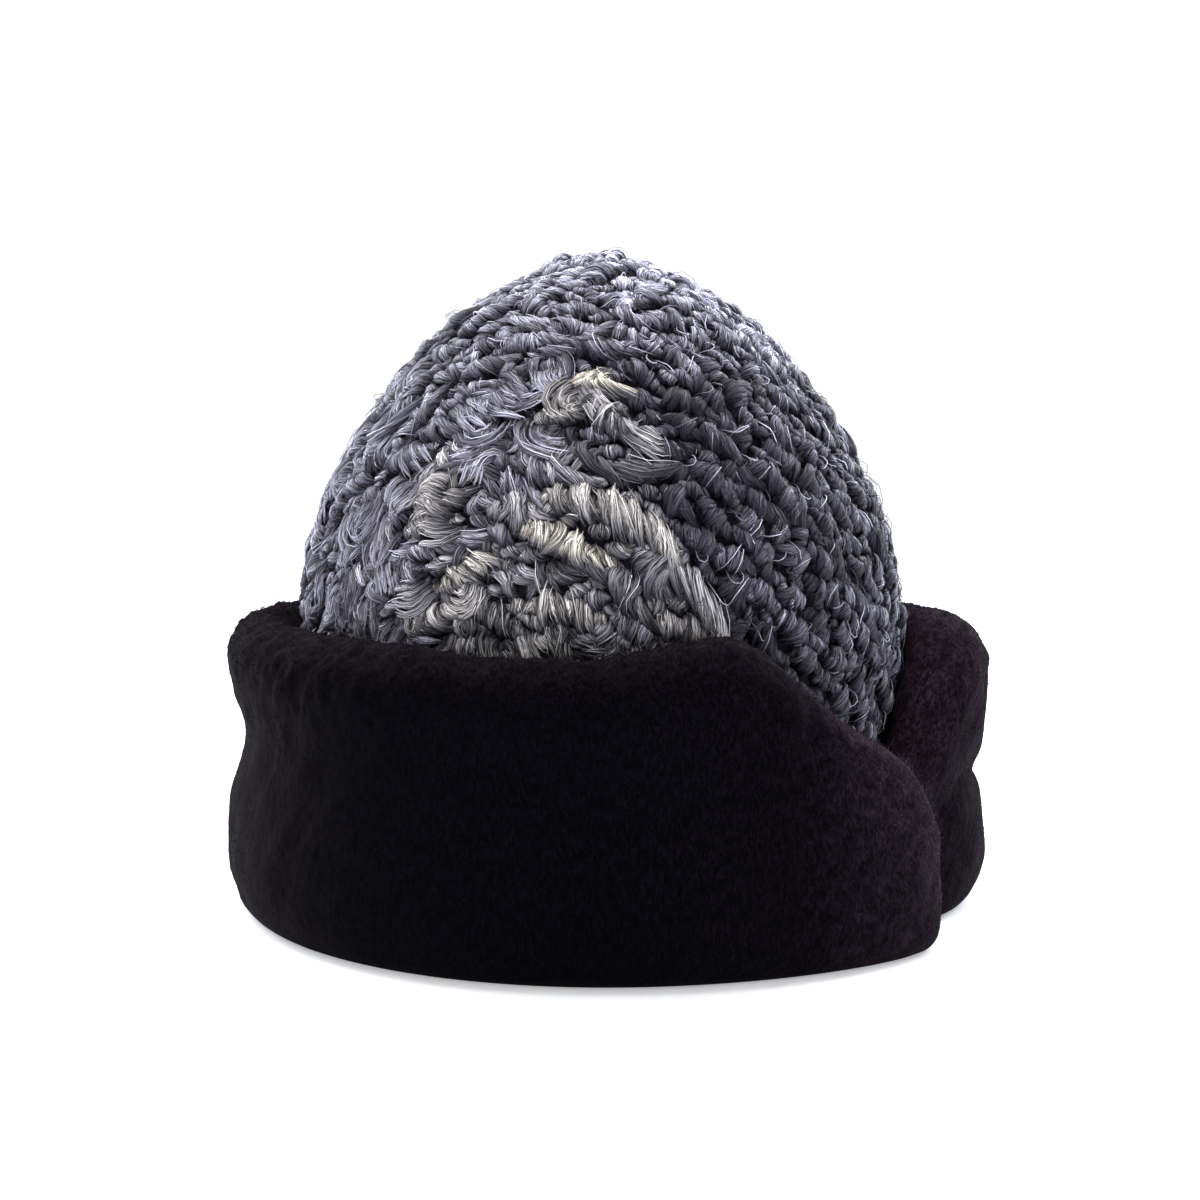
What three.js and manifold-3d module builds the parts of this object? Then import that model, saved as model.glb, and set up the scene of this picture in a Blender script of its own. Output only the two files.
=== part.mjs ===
// A winter hat: a tall dome of curled lambskin, sewn from two halves, with a wide strip of sheared
// fur turned up round it as a cuff. The ends of the strip lap at the front right.
// Millimetres, +Z up. The hat stands on its cuff at z = 0, the origin is the middle of that foot,
// and the front faces -Y. Azimuths are in degrees from the front, and grow towards +X.
import * as THREE from "three";
import { mergeVertices } from "three/addons/utils/BufferGeometryUtils.js";
import Module from "manifold-3d";

const wasm = await Module();
wasm.setup();
const { clamp, degToRad, lerp, mapLinear } = THREE.MathUtils;

// Driving sizes of the crown
const crownHeight = 223.5; // from the table to the top, over the curls
const crownRadius = 105; // at its widest, over the curls
const skinThickness = 2; // the hide itself, under the curls
const curlDepth = 5; // from the crest of a curl down to the parting beside it
const curlPitch = 12; // from one curl to the next
const curlsFrom = 44; // the curls start at this height, and the hide below them is plain
const crownFoot = 5; // the lower edge of the hide
const crownOffset = -2; // the crown sits this far along X from the middle of the cuff
const seamAzimuth = 12; // where the seam comes down the front
const seamGap = 0.3; // between the two halves

// Driving sizes of the cuff
const cuffHeight = 99; // from the table to the crest of the turned-up strip
const cuffThickness = 27; // through the padded strip and its fur, at the widest
const cuffClearance = 0.5; // between the curls and the inside of the cuff
const underlapThickness = 10; // of the inner end of the strip, where the outer end lies on it
const lapClearance = 1; // between the outer end and the inner end under it
const lapBulge = 2.5; // how far the outer end stands proud of the rest of the cuff
const footHeight = 23; // how high the outer face takes to round out of the foot
const crestHeight = 17; // how high the outer face takes to round over into the crest
const crestDrop = 14; // how far the crest rounds down on the inside
const mouthHeight = 12; // how high the inner edge rounds up from the foot
const waistReach = 17; // how far up and down the dip round the cuff's middle is felt

// Shares of the cuff's thickness, from the inside out
const footStart = 0.17;
const crestLine = 0.45;
const footEnd = 0.6;

// How finely the surfaces are divided
const curlUnevenness = 0.35; // how far the partings differ in depth, as a share of curlDepth
const insideSides = 37; // facets round the inside of the crown
const insideStep = 18; // length of a facet on the inside of the crown
const hemSides = 72; // facets round the lower edge of the hide
const sectionStep = 6; // degrees between sections of the cuff, at most

const cuffInnerRadius = crownRadius + cuffClearance;
const cuffOuterRadius = cuffInnerRadius + cuffThickness;
const underlapOuterRadius = cuffInnerRadius + underlapThickness;
const lapInnerRadius = underlapOuterRadius + lapClearance;

// The crown's outline over the curls, from the top down: shares of crownHeight and crownRadius.
const crownOutline = [
  { height: 1.0, radius: 0.0 },
  { height: 0.997, radius: 0.115 },
  { height: 0.948, radius: 0.335 },
  { height: 0.869, radius: 0.56 },
  { height: 0.748, radius: 0.765 },
  { height: 0.622, radius: 0.92 },
  { height: 0.5, radius: 0.99 },
  { height: 0.4, radius: 1.0 },
  { height: 0.29, radius: 0.97 },
  { height: 0.0, radius: 0.9 },
];

// The cuff along its strip, from the inner end, under the lap, round the back to the outer end.
// top and bottom: of the strip, as shares of cuffHeight. full: 1 at its own thickness, less at a
// rounded end. under: 1 where it lies under the lap. over: 1 where it lies over the inner end.
// waist: depth of the dip round its middle, as a share of cuffThickness. waistAt: height of that
// dip, as a share of the strip's own height there. crease: 0 for a soft dip, 1 for a sharp one.
const cuffStrip = [
  { azimuth: 46, top: 0.22, bottom: 0.1, full: 0.25, under: 1, over: 0, waist: 0, waistAt: 0.5, crease: 0 },
  { azimuth: 48, top: 0.36, bottom: 0.02, full: 0.75, under: 1, over: 0, waist: 0, waistAt: 0.5, crease: 0 },
  { azimuth: 51, top: 0.44, bottom: 0, full: 1, under: 1, over: 0, waist: 0, waistAt: 0.5, crease: 0 },
  { azimuth: 58, top: 0.51, bottom: 0, full: 1, under: 1, over: 0, waist: 0.02, waistAt: 0.55, crease: 0.3 },
  { azimuth: 64, top: 0.58, bottom: 0, full: 1, under: 0.8, over: 0, waist: 0.06, waistAt: 0.55, crease: 0.6 },
  { azimuth: 68, top: 0.7, bottom: 0, full: 1, under: 0.55, over: 0, waist: 0.12, waistAt: 0.55, crease: 0.8 },
  { azimuth: 72, top: 0.86, bottom: 0, full: 1, under: 0.32, over: 0, waist: 0.18, waistAt: 0.52, crease: 0.9 },
  { azimuth: 77, top: 0.96, bottom: 0, full: 1, under: 0.12, over: 0, waist: 0.22, waistAt: 0.49, crease: 1 },
  { azimuth: 84, top: 0.995, bottom: 0, full: 1, under: 0, over: 0, waist: 0.22, waistAt: 0.47, crease: 1 },
  { azimuth: 100, top: 1, bottom: 0, full: 1, under: 0, over: 0, waist: 0.22, waistAt: 0.48, crease: 0.8 },
  { azimuth: 140, top: 0.985, bottom: 0, full: 1, under: 0, over: 0, waist: 0.2, waistAt: 0.52, crease: 0.2 },
  { azimuth: 180, top: 1, bottom: 0, full: 1, under: 0, over: 0, waist: 0.17, waistAt: 0.55, crease: 0 },
  { azimuth: 220, top: 0.99, bottom: 0, full: 1, under: 0, over: 0, waist: 0.22, waistAt: 0.58, crease: 0 },
  { azimuth: 260, top: 1.015, bottom: 0, full: 1, under: 0, over: 0, waist: 0.23, waistAt: 0.6, crease: 0 },
  { azimuth: 284, top: 1.015, bottom: 0, full: 1, under: 0, over: 0, waist: 0.23, waistAt: 0.6, crease: 0 },
  { azimuth: 308, top: 1, bottom: 0, full: 1, under: 0, over: 0, waist: 0.18, waistAt: 0.6, crease: 0 },
  { azimuth: 330, top: 0.99, bottom: 0, full: 1, under: 0, over: 0, waist: 0.12, waistAt: 0.6, crease: 0 },
  { azimuth: 342, top: 0.968, bottom: 0, full: 1, under: 0, over: 0, waist: 0.1, waistAt: 0.6, crease: 0 },
  { azimuth: 360, top: 0.975, bottom: 0, full: 1, under: 0, over: 0, waist: 0.1, waistAt: 0.58, crease: 0 },
  { azimuth: 370, top: 1.015, bottom: 0, full: 1, under: 0, over: 0.04, waist: 0.1, waistAt: 0.55, crease: 0 },
  { azimuth: 376, top: 1.03, bottom: 0, full: 1, under: 0, over: 0.12, waist: 0.08, waistAt: 0.52, crease: 0 },
  { azimuth: 382, top: 0.98, bottom: 0, full: 1, under: 0, over: 0.24, waist: 0.06, waistAt: 0.5, crease: 0 },
  { azimuth: 388, top: 0.87, bottom: 0, full: 1, under: 0, over: 0.4, waist: 0.05, waistAt: 0.5, crease: 0 },
  { azimuth: 394, top: 0.77, bottom: 0, full: 1, under: 0, over: 0.6, waist: 0.05, waistAt: 0.52, crease: 0 },
  { azimuth: 400, top: 0.69, bottom: 0, full: 1, under: 0, over: 0.84, waist: 0.06, waistAt: 0.55, crease: 0.3 },
  { azimuth: 405, top: 0.61, bottom: 0, full: 1, under: 0, over: 1, waist: 0.07, waistAt: 0.58, crease: 0.5 },
  { azimuth: 409, top: 0.5, bottom: 0, full: 0.94, under: 0, over: 1, waist: 0.07, waistAt: 0.6, crease: 0.5 },
  { azimuth: 412, top: 0.4, bottom: 0.01, full: 0.74, under: 0, over: 1, waist: 0.03, waistAt: 0.6, crease: 0.5 },
  { azimuth: 413.6, top: 0.28, bottom: 0.08, full: 0.36, under: 0, over: 1, waist: 0, waistAt: 0.6, crease: 0 },
];

// One column of a table as a smooth function of another, by monotone cubic pieces, so that the
// curve never swings past the rows that it passes through.
function smoothColumn(table, along, name) {
  const x = table.map((row) => row[along]);
  const y = table.map((row) => row[name]);
  const rise = x.slice(1).map((next, i) => (y[i + 1] - y[i]) / (next - x[i]));
  const slope = y.map((_, i) => {
    const before = rise[i - 1] ?? rise[i];
    const after = rise[i] ?? rise[i - 1];
    return before * after <= 0 ? 0 : (2 * before * after) / (before + after);
  });
  return (at) => {
    let i = 0;
    while (i < rise.length - 1 && at > x[i + 1]) i++;
    const width = x[i + 1] - x[i];
    const t = clamp((at - x[i]) / width, 0, 1);
    const blend = t * t * (3 - 2 * t);
    const leave = t * (1 - t) * (1 - t) * width * slope[i];
    const arrive = t * t * (t - 1) * width * slope[i + 1];
    return lerp(y[i], y[i + 1], blend) + leave + arrive;
  };
}

// The crown's outline as a curve of (radius, height), from the top down to the table.
const outlineCurve = new THREE.SplineCurve(
  crownOutline.map((row) => new THREE.Vector2(row.radius * crownRadius, row.height * crownHeight)),
);

// The crown's radius over the curls at a height, found by halving.
function outlineRadius(height) {
  let [above, below] = [0, 1];
  while (below - above > 1e-6) {
    const middle = (above + below) / 2;
    if (outlineCurve.getPoint(middle).y > height) above = middle;
    else below = middle;
  }
  return outlineCurve.getPoint(below).x;
}

// Points down the crown's outline, about `step` apart, from just below the top to a height. Each
// comes with the normal that points out of the hat.
function pointsDownTheOutline(step, lowest) {
  const count = Math.round(outlineCurve.getLength() / step);
  const points = [];
  for (let i = 1; i < count; i++) {
    const point = outlineCurve.getPointAt(i / count);
    if (point.y < lowest + step / 2) break;
    const along = outlineCurve.getTangentAt(i / count);
    points.push({ point, normal: new THREE.Vector2(-along.y, along.x) });
  }
  points.push({ point: new THREE.Vector2(outlineRadius(lowest), lowest), normal: new THREE.Vector2(1, 0) });
  return points;
}

function placeAt(azimuth, radius, height) {
  return new THREE.Vector3(radius * Math.sin(azimuth), -radius * Math.cos(azimuth), height);
}

// A ring of `count` points round the hat, or a single point where the radius is 0. `turn` shifts
// the ring along itself by a share of its spacing, and `lift` moves a point along the normal.
function ring({ count, radius, height, turn = 0, lift = () => 0, normal = new THREE.Vector2(1, 0) }) {
  const points = Array.from({ length: count }, (_, i) => {
    const azimuth = (2 * Math.PI * (i + turn)) / count;
    return placeAt(azimuth, radius + lift(i) * normal.x, height + lift(i) * normal.y);
  });
  return { points, turn };
}

// Triangles between two rings of different counts. It walks round both at once, each time on to
// whichever next point comes first. A ring of one point is a pole, and takes a fan.
function stitch(first, second) {
  const steps = (r) => (r.points.length > 1 ? r.points.length : 0);
  const point = (r, i) => r.points[i % r.points.length];
  const share = (r, i) => (i + r.turn) / r.points.length;
  const triangles = [];
  let [i, j] = [0, 0];
  while (i < steps(first) || j < steps(second)) {
    const here = [point(first, i), point(second, j)];
    const firstIsNext = j >= steps(second) || share(first, i + 1) < share(second, j + 1);
    if (i < steps(first) && firstIsNext) {
      i++;
      triangles.push(...here, point(first, i));
    } else {
      j++;
      triangles.push(...here, point(second, j));
    }
  }
  return triangles;
}

// A repeatable number from 0 to 1 for each pair of whole numbers.
function scatter(a, b) {
  const s = Math.sin(a * 127.1 + b * 311.7) * 43758.5453;
  return s - Math.floor(s);
}

// The outside of the curled pelt: rings of points in a three-cornered lattice. Every third point is
// the crest of a curl and the rest are partings, so that each crest has six partings round it.
function curledRings() {
  const spacing = curlPitch / Math.sqrt(3);
  const rowStep = curlPitch / 2;
  return pointsDownTheOutline(rowStep, curlsFrom).map(({ point, normal }, row) => {
    const curls = Math.max(2, Math.round((2 * Math.PI * point.x) / (3 * spacing)));
    const odd = row % 2;
    const lift = (i) => {
      const uneven = curlUnevenness * scatter(i, row);
      const isCrest = row > 0 && i % 3 === odd;
      return -curlDepth * (isCrest ? uneven / 2 : 1 - uneven);
    };
    return ring({ count: 3 * curls, radius: point.x, height: point.y, turn: odd / 2, lift, normal });
  });
}

// The smooth inside, from the lower edge of the hide up to the top. It lies one skin's thickness
// behind the partings, and closes in on the plain hide below the curls.
function insideRings() {
  const behindCurls = curlDepth + skinThickness;
  return pointsDownTheOutline(insideStep, crownFoot)
    .map(({ point, normal }) => {
      const share = clamp(mapLinear(point.y, crownFoot, curlsFrom, 0, 1), 0, 1);
      const inset = lerp(skinThickness, behindCurls, share);
      return ring({ count: insideSides, radius: point.x, height: point.y, lift: () => -inset, normal });
    })
    .reverse();
}

function crownTriangles() {
  const pole = (height) => ring({ count: 1, radius: 0, height });
  const rings = [
    pole(crownHeight),
    ...curledRings(),
    ring({ count: hemSides, radius: outlineRadius(crownFoot), height: crownFoot }),
    ...insideRings(),
    pole(crownHeight - curlDepth - skinThickness),
  ];
  return rings.slice(1).flatMap((next, i) => stitch(rings[i], next));
}

function toGeometry(triangles) {
  return mergeVertices(new THREE.BufferGeometry().setFromPoints(triangles), 1e-4);
}

function toSolid(geometry) {
  const bare = new THREE.BufferGeometry().setAttribute("position", geometry.getAttribute("position"));
  if (geometry.index) bare.setIndex(geometry.index);
  const merged = mergeVertices(bare, 1e-4);
  const vertProperties = new Float32Array(merged.getAttribute("position").array);
  const triVerts = new Uint32Array(merged.index.array);
  return new wasm.Manifold(new wasm.Mesh({ numProp: 3, vertProperties, triVerts }));
}

function fromSolid(solid) {
  const { vertProperties, triVerts } = solid.getMesh();
  const geometry = new THREE.BufferGeometry();
  geometry.setAttribute("position", new THREE.BufferAttribute(vertProperties, 3));
  geometry.setIndex(new THREE.BufferAttribute(triVerts, 1));
  return geometry;
}

// The space on one side of the seam's plane, which stands on the axis: a box wider than the hat.
// side is 1 for the side of growing azimuth and -1 for the other.
function sideOfTheSeam(side) {
  const reach = 2 * (crownRadius + crownHeight);
  const box = new THREE.BoxGeometry(reach, reach, reach);
  box.translate((side * (reach + seamGap)) / 2, 0, 0);
  box.rotateZ(degToRad(seamAzimuth));
  return toSolid(box);
}

// Points on a quarter of an ellipse, without its first. `place` takes the shares of its two
// radii, across and up, that each point lies at.
function quarterTurn(from, steps, place) {
  return Array.from({ length: steps }, (_, i) => {
    const angle = degToRad(from + (90 * (i + 1)) / steps);
    return place(Math.cos(angle), Math.sin(angle));
  });
}

// Points up or down a face between two heights, without its first.
function alongFace(from, to, steps, radiusAt) {
  return Array.from({ length: steps }, (_, i) => {
    const height = lerp(from, to, (i + 1) / steps);
    return [radiusAt(height), height];
  });
}

// The cuff's cross-section at an azimuth, as a closed loop of points. It runs out along the flat
// foot, up the outer face, over the crest and down the inner face, which follows the crown.
function cuffSection(azimuth) {
  const row = {};
  for (const name of Object.keys(cuffStrip[0])) row[name] = smoothColumn(cuffStrip, "azimuth", name)(azimuth);
  const top = row.top * cuffHeight;
  const bottom = row.bottom * cuffHeight;
  const size = (top - bottom) / cuffHeight;
  const offset = crownOffset * Math.sin(degToRad(azimuth));
  const inner = lerp(cuffInnerRadius + offset, lapInnerRadius, row.over);
  const outer = lerp(cuffOuterRadius, underlapOuterRadius, row.under) + row.over * lapBulge;
  const across = (share) => lerp(inner, outer, share);
  const [footIn, crest, footOut] = [across(footStart), across(crestLine), across(footEnd)];

  const waist = lerp(bottom, top, row.waistAt);
  const outerFace = (height) => {
    const away = Math.abs(height - waist) / waistReach;
    const dip = lerp(Math.exp(-away * away), Math.exp(-2 * away), row.crease);
    return outer - row.waist * cuffThickness * dip;
  };
  const overCrown = (height) => outlineRadius(height) + offset + cuffClearance;
  const innerFace = (height) => lerp(overCrown(height), lapInnerRadius, row.over);
  const rounded = (face, middle, start, reach) => (cos, sin) => {
    const height = start + reach * size * sin;
    return [lerp(middle, face(height), Math.abs(cos)), height];
  };

  const footTop = bottom + footHeight * size;
  const crestFoot = top - crestHeight * size;
  const crestIn = top - crestDrop * size;
  const mouthTop = bottom + mouthHeight * size;
  const loop = [
    [footOut, bottom],
    ...quarterTurn(-90, 5, rounded(outerFace, footOut, footTop, footHeight)),
    ...alongFace(footTop, waist, 3, outerFace),
    ...alongFace(waist, crestFoot, 4, outerFace),
    ...quarterTurn(0, 5, rounded(outerFace, crest, crestFoot, crestHeight)),
    ...quarterTurn(90, 4, rounded(innerFace, crest, crestIn, crestDrop)),
    ...alongFace(crestIn, mouthTop, 3, innerFace),
    ...quarterTurn(180, 3, rounded(innerFace, footIn, mouthTop, mouthHeight)),
  ];
  const middle = across(0.5);
  return loop.map(([radius, height]) => placeAt(degToRad(azimuth), lerp(middle, radius, row.full), height));
}

// The azimuths of the sections: each row of the table, and even steps between the rows.
function sectionAzimuths() {
  const rows = cuffStrip.map((row) => row.azimuth);
  const between = rows.slice(1).flatMap((next, i) => {
    const steps = Math.ceil((next - rows[i]) / sectionStep);
    return Array.from({ length: steps }, (_, k) => lerp(rows[i], next, (k + 1) / steps));
  });
  return [rows[0], ...between];
}

// A fan over one end of the strip, out from the middle of its last section.
function endCap(section) {
  const middle = section.reduce((sum, p) => sum.add(p), new THREE.Vector3()).divideScalar(section.length);
  return section.flatMap((p, i) => [middle, p, section[(i + 1) % section.length]]);
}

function cuffTriangles() {
  const sections = sectionAzimuths().map(cuffSection);
  const sides = sections.slice(1).flatMap((next, k) =>
    next.flatMap((_, i) => {
      const j = (i + 1) % next.length;
      const [a, b, c, d] = [sections[k][i], next[i], next[j], sections[k][j]];
      return [a, b, c, a, c, d];
    }),
  );
  const last = [...sections.at(-1)].reverse();
  return [...endCap(sections[0]), ...sides, ...endCap(last)];
}

function fur(color, roughness) {
  return new THREE.MeshStandardMaterial({ color, roughness, metalness: 0, flatShading: true });
}

function named(name, geometry, material) {
  const mesh = new THREE.Mesh(geometry, material);
  mesh.name = name;
  return mesh;
}

const crown = toSolid(toGeometry(crownTriangles()).translate(crownOffset, 0, 0));
const paleHalf = crown.intersect(sideOfTheSeam(-1));
const darkHalf = crown.intersect(sideOfTheSeam(1));

const hat = new THREE.Group();
hat.add(
  named("crown_pale_half", fromSolid(paleHalf), fur(0x9c9391, 0.85)),
  named("crown_dark_half", fromSolid(darkHalf), fur(0x4d4a54, 0.7)),
  named("cuff", toGeometry(cuffTriangles()), fur(0x2a1f1c, 0.95)),
);

export default hat;
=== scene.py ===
# %% [markdown]
# A winter hat of two furs
#
# The hat is a tall dome of curled lambskin with a wide cuff of sheared fur turned up round it. The
# plain solids of both come in with the frame and stay for collision, and each is replaced here by
# pieces with the real surface: a hide with about twelve hundred curls on it, and a padded strip of
# short fur. Everything is worked out from two outlines, the crown's profile and the strip's
# cross-section, and from a handful of sizes in millimetres.

# %% Load the frame
import math

import bpy
import numpy as np
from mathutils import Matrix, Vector


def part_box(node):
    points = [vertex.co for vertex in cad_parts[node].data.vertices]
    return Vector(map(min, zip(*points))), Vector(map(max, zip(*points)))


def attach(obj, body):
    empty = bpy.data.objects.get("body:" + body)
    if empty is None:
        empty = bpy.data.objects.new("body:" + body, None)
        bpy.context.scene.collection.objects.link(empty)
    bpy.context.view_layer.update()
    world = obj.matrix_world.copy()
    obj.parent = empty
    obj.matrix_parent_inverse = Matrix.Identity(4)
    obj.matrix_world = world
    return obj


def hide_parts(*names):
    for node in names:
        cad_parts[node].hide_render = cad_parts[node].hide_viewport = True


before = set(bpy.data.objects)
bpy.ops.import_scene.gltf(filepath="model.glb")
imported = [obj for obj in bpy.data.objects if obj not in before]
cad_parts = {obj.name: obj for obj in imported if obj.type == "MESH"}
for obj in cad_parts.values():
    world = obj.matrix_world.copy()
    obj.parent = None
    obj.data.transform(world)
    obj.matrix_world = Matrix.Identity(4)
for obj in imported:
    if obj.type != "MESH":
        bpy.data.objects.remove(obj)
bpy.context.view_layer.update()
MM = 0.001
rng = np.random.default_rng(58)

crown_boxes = [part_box(name) for name in ("crown_pale_half", "crown_dark_half")]
crown_low = np.minimum(*(np.array(low) for low, _ in crown_boxes))
crown_high = np.maximum(*(np.array(high) for _, high in crown_boxes))
CROWN_HEIGHT = crown_high[2]
CROWN_FOOT = crown_low[2]
CROWN_RADIUS = 105 * MM
CROWN_CENTRE_X = (crown_high[0] + crown_low[0]) / 2
CUFF_HEIGHT = 99 * MM
print("crown", np.round([CROWN_HEIGHT, CROWN_RADIUS, CROWN_CENTRE_X], 4))

# %% [markdown]
# Camera
#
# The photo was taken from a little above the hat with a fairly long lens. A lens could be guessed
# and the camera moved until the picture looks right, but the curve of the cuff's foot says more: how
# flat its ellipse is gives the camera's height, and how it widens towards the front gives the
# distance. So height, distance and tilt were fitted to that curve.

# %% Camera
PHOTO_SIDE = 1200
FOCAL_PIXELS = 1865
CAMERA_DISTANCE = 652.75 * MM
CAMERA_HEIGHT = 157.2 * MM
CAMERA_SHIFT = -2.6 * MM
CAMERA_TILT = math.radians(4.76)

camera_data = bpy.data.cameras.new("camera")
camera_data.lens = camera_data.sensor_width * FOCAL_PIXELS / PHOTO_SIDE
camera = bpy.data.objects.new("camera", camera_data)
camera.location = (CAMERA_SHIFT, -CAMERA_DISTANCE, CAMERA_HEIGHT)
camera.rotation_euler = (math.pi / 2 - CAMERA_TILT, 0, 0)
bpy.context.scene.collection.objects.link(camera)
bpy.context.scene.camera = camera
print("lens", round(camera_data.lens, 2), "mm")

# %% [markdown]
# Floor
#
# The hat stands on white paper that is lit until it is nearly as bright as the background, with only
# a thin shadow along the foot. A paper lit by lamps alone stays grey long before the dark fur is
# well lit. So the floor also glows by itself, little under the hat and more further out.


# %% Floor
def add_node(tree, kind, **settings):
    """A node with its properties and, by name, the values of its sockets."""
    node = tree.nodes.new(kind)
    for name, value in settings.items():
        if name in node.inputs:
            node.inputs[name].default_value = value
        else:
            setattr(node, name, value)
    return node


def new_material(name, **sockets):
    """A material, its node tree and its shader, with values set on the shader's sockets."""
    material = bpy.data.materials.new(name)
    material.use_nodes = True
    shader = material.node_tree.nodes["Principled BSDF"]
    for socket, value in sockets.items():
        shader.inputs[socket.replace("_", " ")].default_value = value
    return material, material.node_tree, shader


def set_range(node, low, high, end="To"):
    """The range that a Map Range node gives out or, with "From", takes in."""
    node.inputs[end + " Min"].default_value = low
    node.inputs[end + " Max"].default_value = high


FLOOR_REACH = 6.0
GLOW_FROM, GLOW_TO = 120 * MM, 340 * MM
GLOW_AT_HAT, GLOW_AWAY = 0.36, 0.8

floor_mesh = bpy.data.meshes.new("floor")
corners = [(-FLOOR_REACH, -FLOOR_REACH, 0), (FLOOR_REACH, -FLOOR_REACH, 0)]
corners += [(FLOOR_REACH, FLOOR_REACH, 0), (-FLOOR_REACH, FLOOR_REACH, 0)]
floor_mesh.from_pydata(corners, [], [(0, 1, 2, 3)])
floor = bpy.data.objects.new("floor", floor_mesh)
bpy.context.scene.collection.objects.link(floor)
paper, paper_tree, paper_shader = new_material(
    "white_paper", Base_Color=(0.93, 0.94, 0.96, 1), Roughness=0.6, Emission_Color=(0.97, 0.98, 1.0, 1)
)
from_hat = paper_tree.nodes.new("ShaderNodeTexCoord")
how_far = add_node(paper_tree, "ShaderNodeVectorMath", operation="LENGTH")
glow = paper_tree.nodes.new("ShaderNodeMapRange")
set_range(glow, GLOW_FROM, GLOW_TO, "From")
set_range(glow, GLOW_AT_HAT, GLOW_AWAY)
paper_tree.links.new(from_hat.outputs["Object"], how_far.inputs[0])
paper_tree.links.new(how_far.outputs["Value"], glow.inputs["Value"])
paper_tree.links.new(glow.outputs["Result"], paper_shader.inputs["Emission Strength"])
floor_mesh.materials.append(paper)
print("floor", 2 * FLOOR_REACH, "m wide")

# %% [markdown]
# Studio light
#
# In the photo the rim of the dome is nearly washed out while the fur on the front stays black. One
# bright lamp in front would light both alike. So the light comes from big soft lamps above and
# behind on both sides, with a weak one in front. The world seen by the camera is white like the
# studio's wall, but it lights the hat only a little.


# %% Lights
def add_light(name, size, power, place, aim_height, colour):
    """A square area light at a place, turned towards a point at a height in the hat's middle."""
    data = bpy.data.lights.new(name, "AREA")
    data.size = size
    data.energy = power
    data.color = colour
    light = bpy.data.objects.new(name, data)
    light.location = place
    aim = Vector((0, 0, aim_height)) - Vector(place)
    light.rotation_euler = aim.to_track_quat("-Z", "Y").to_euler()
    bpy.context.scene.collection.objects.link(light)
    return light


WORLD_LIGHT = 0.42
WORLD_SEEN = 1.1

world = bpy.data.worlds.new("studio")
world.use_nodes = True
background = world.node_tree.nodes["Background"]
background.inputs["Color"].default_value = (0.96, 0.975, 1.0, 1)
seen = world.node_tree.nodes.new("ShaderNodeLightPath")
strength = add_node(world.node_tree, "ShaderNodeMath", operation="MULTIPLY_ADD")
strength.inputs[1].default_value = WORLD_SEEN - WORLD_LIGHT
strength.inputs[2].default_value = WORLD_LIGHT
world.node_tree.links.new(seen.outputs["Is Camera Ray"], strength.inputs[0])
world.node_tree.links.new(strength.outputs["Value"], background.inputs["Strength"])
bpy.context.scene.world = world
bpy.context.scene.view_settings.view_transform = "Standard"

lamps = [
    add_light("top_softbox", 1.2, 34, (-0.1, 0.15, 1.5), 0.1, (1.0, 0.99, 0.98)),
    add_light("front_softbox", 0.8, 5, (-0.3, -1.4, 1.25), 0.12, (1.0, 0.97, 0.94)),
    add_light("right_rim", 0.9, 26, (1.1, 0.8, 0.8), 0.12, (0.9, 0.94, 1.0)),
    add_light("left_rim", 0.9, 26, (-1.1, 0.8, 0.8), 0.12, (0.9, 0.94, 1.0)),
]
print("lamps", [(lamp.name, lamp.data.energy) for lamp in lamps])

# %% [markdown]
# Helpers for surfaces
#
# Fur in Blender is often a hair system, but hair is drawn only by the renderer and is lost when a
# part is handed on as a mesh. So here every piece is arrays of points and faces. These helpers put
# arrays into a mesh in one go, with the points' own colour, so that one material can serve hundreds
# of curls that differ in shade, and with a UV map in real metres, so that hair is as fine on a big
# curl as on a small one.


# %% Mesh helpers
def add_piece(name, points, faces, material, tint, uv=None):
    """A mesh object from points and (F, 3) or (F, 4) faces. tint is a colour and uv a map place for
    each point."""
    mesh = bpy.data.meshes.new(name)
    points = points.reshape(-1, 3)
    count, sides = faces.shape
    mesh.vertices.add(len(points))
    mesh.vertices.foreach_set("co", np.ascontiguousarray(points, np.float32).ravel())
    mesh.loops.add(count * sides)
    mesh.loops.foreach_set("vertex_index", np.ascontiguousarray(faces, np.int32).ravel())
    mesh.polygons.add(count)
    mesh.polygons.foreach_set("loop_start", np.arange(0, count * sides, sides, dtype=np.int32))
    mesh.polygons.foreach_set("use_smooth", np.ones(count, bool))
    if uv is not None:
        layer = mesh.uv_layers.new(name="comb")
        uv = uv.reshape(-1, 2)[faces.ravel()]
        layer.data.foreach_set("uv", np.ascontiguousarray(uv, np.float32).ravel())
    colours = np.ones((len(points), 4), np.float32)
    colours[:, :3] = tint.reshape(-1, 3)
    attribute = mesh.color_attributes.new(name="tint", type="FLOAT_COLOR", domain="POINT")
    attribute.data.foreach_set("color", colours.ravel())
    mesh.update()
    mesh.validate()
    mesh.materials.append(material)
    piece = bpy.data.objects.new(name, mesh)
    bpy.context.scene.collection.objects.link(piece)
    print(name, len(points), "points", count * (sides - 2), "triangles")
    return piece


def ring_faces(rows, columns):
    """Quads over a grid of rows x columns points, in which each row joins up with itself."""
    r = np.arange(rows - 1)[:, None] * columns
    c = np.arange(columns)[None, :]
    c_next = (c + 1) % columns
    quads = [r + c, r + c_next, r + columns + c_next, r + columns + c]
    return np.stack(np.broadcast_arrays(*quads), -1).reshape(-1, 4)


def lerp(a, b, t):
    """The value a share t of the way from a to b."""
    return a + (b - a) * t


def unit(vectors):
    """Vectors scaled to length 1."""
    return vectors / np.maximum(np.linalg.norm(vectors, axis=-1, keepdims=True), 1e-12)


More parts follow.
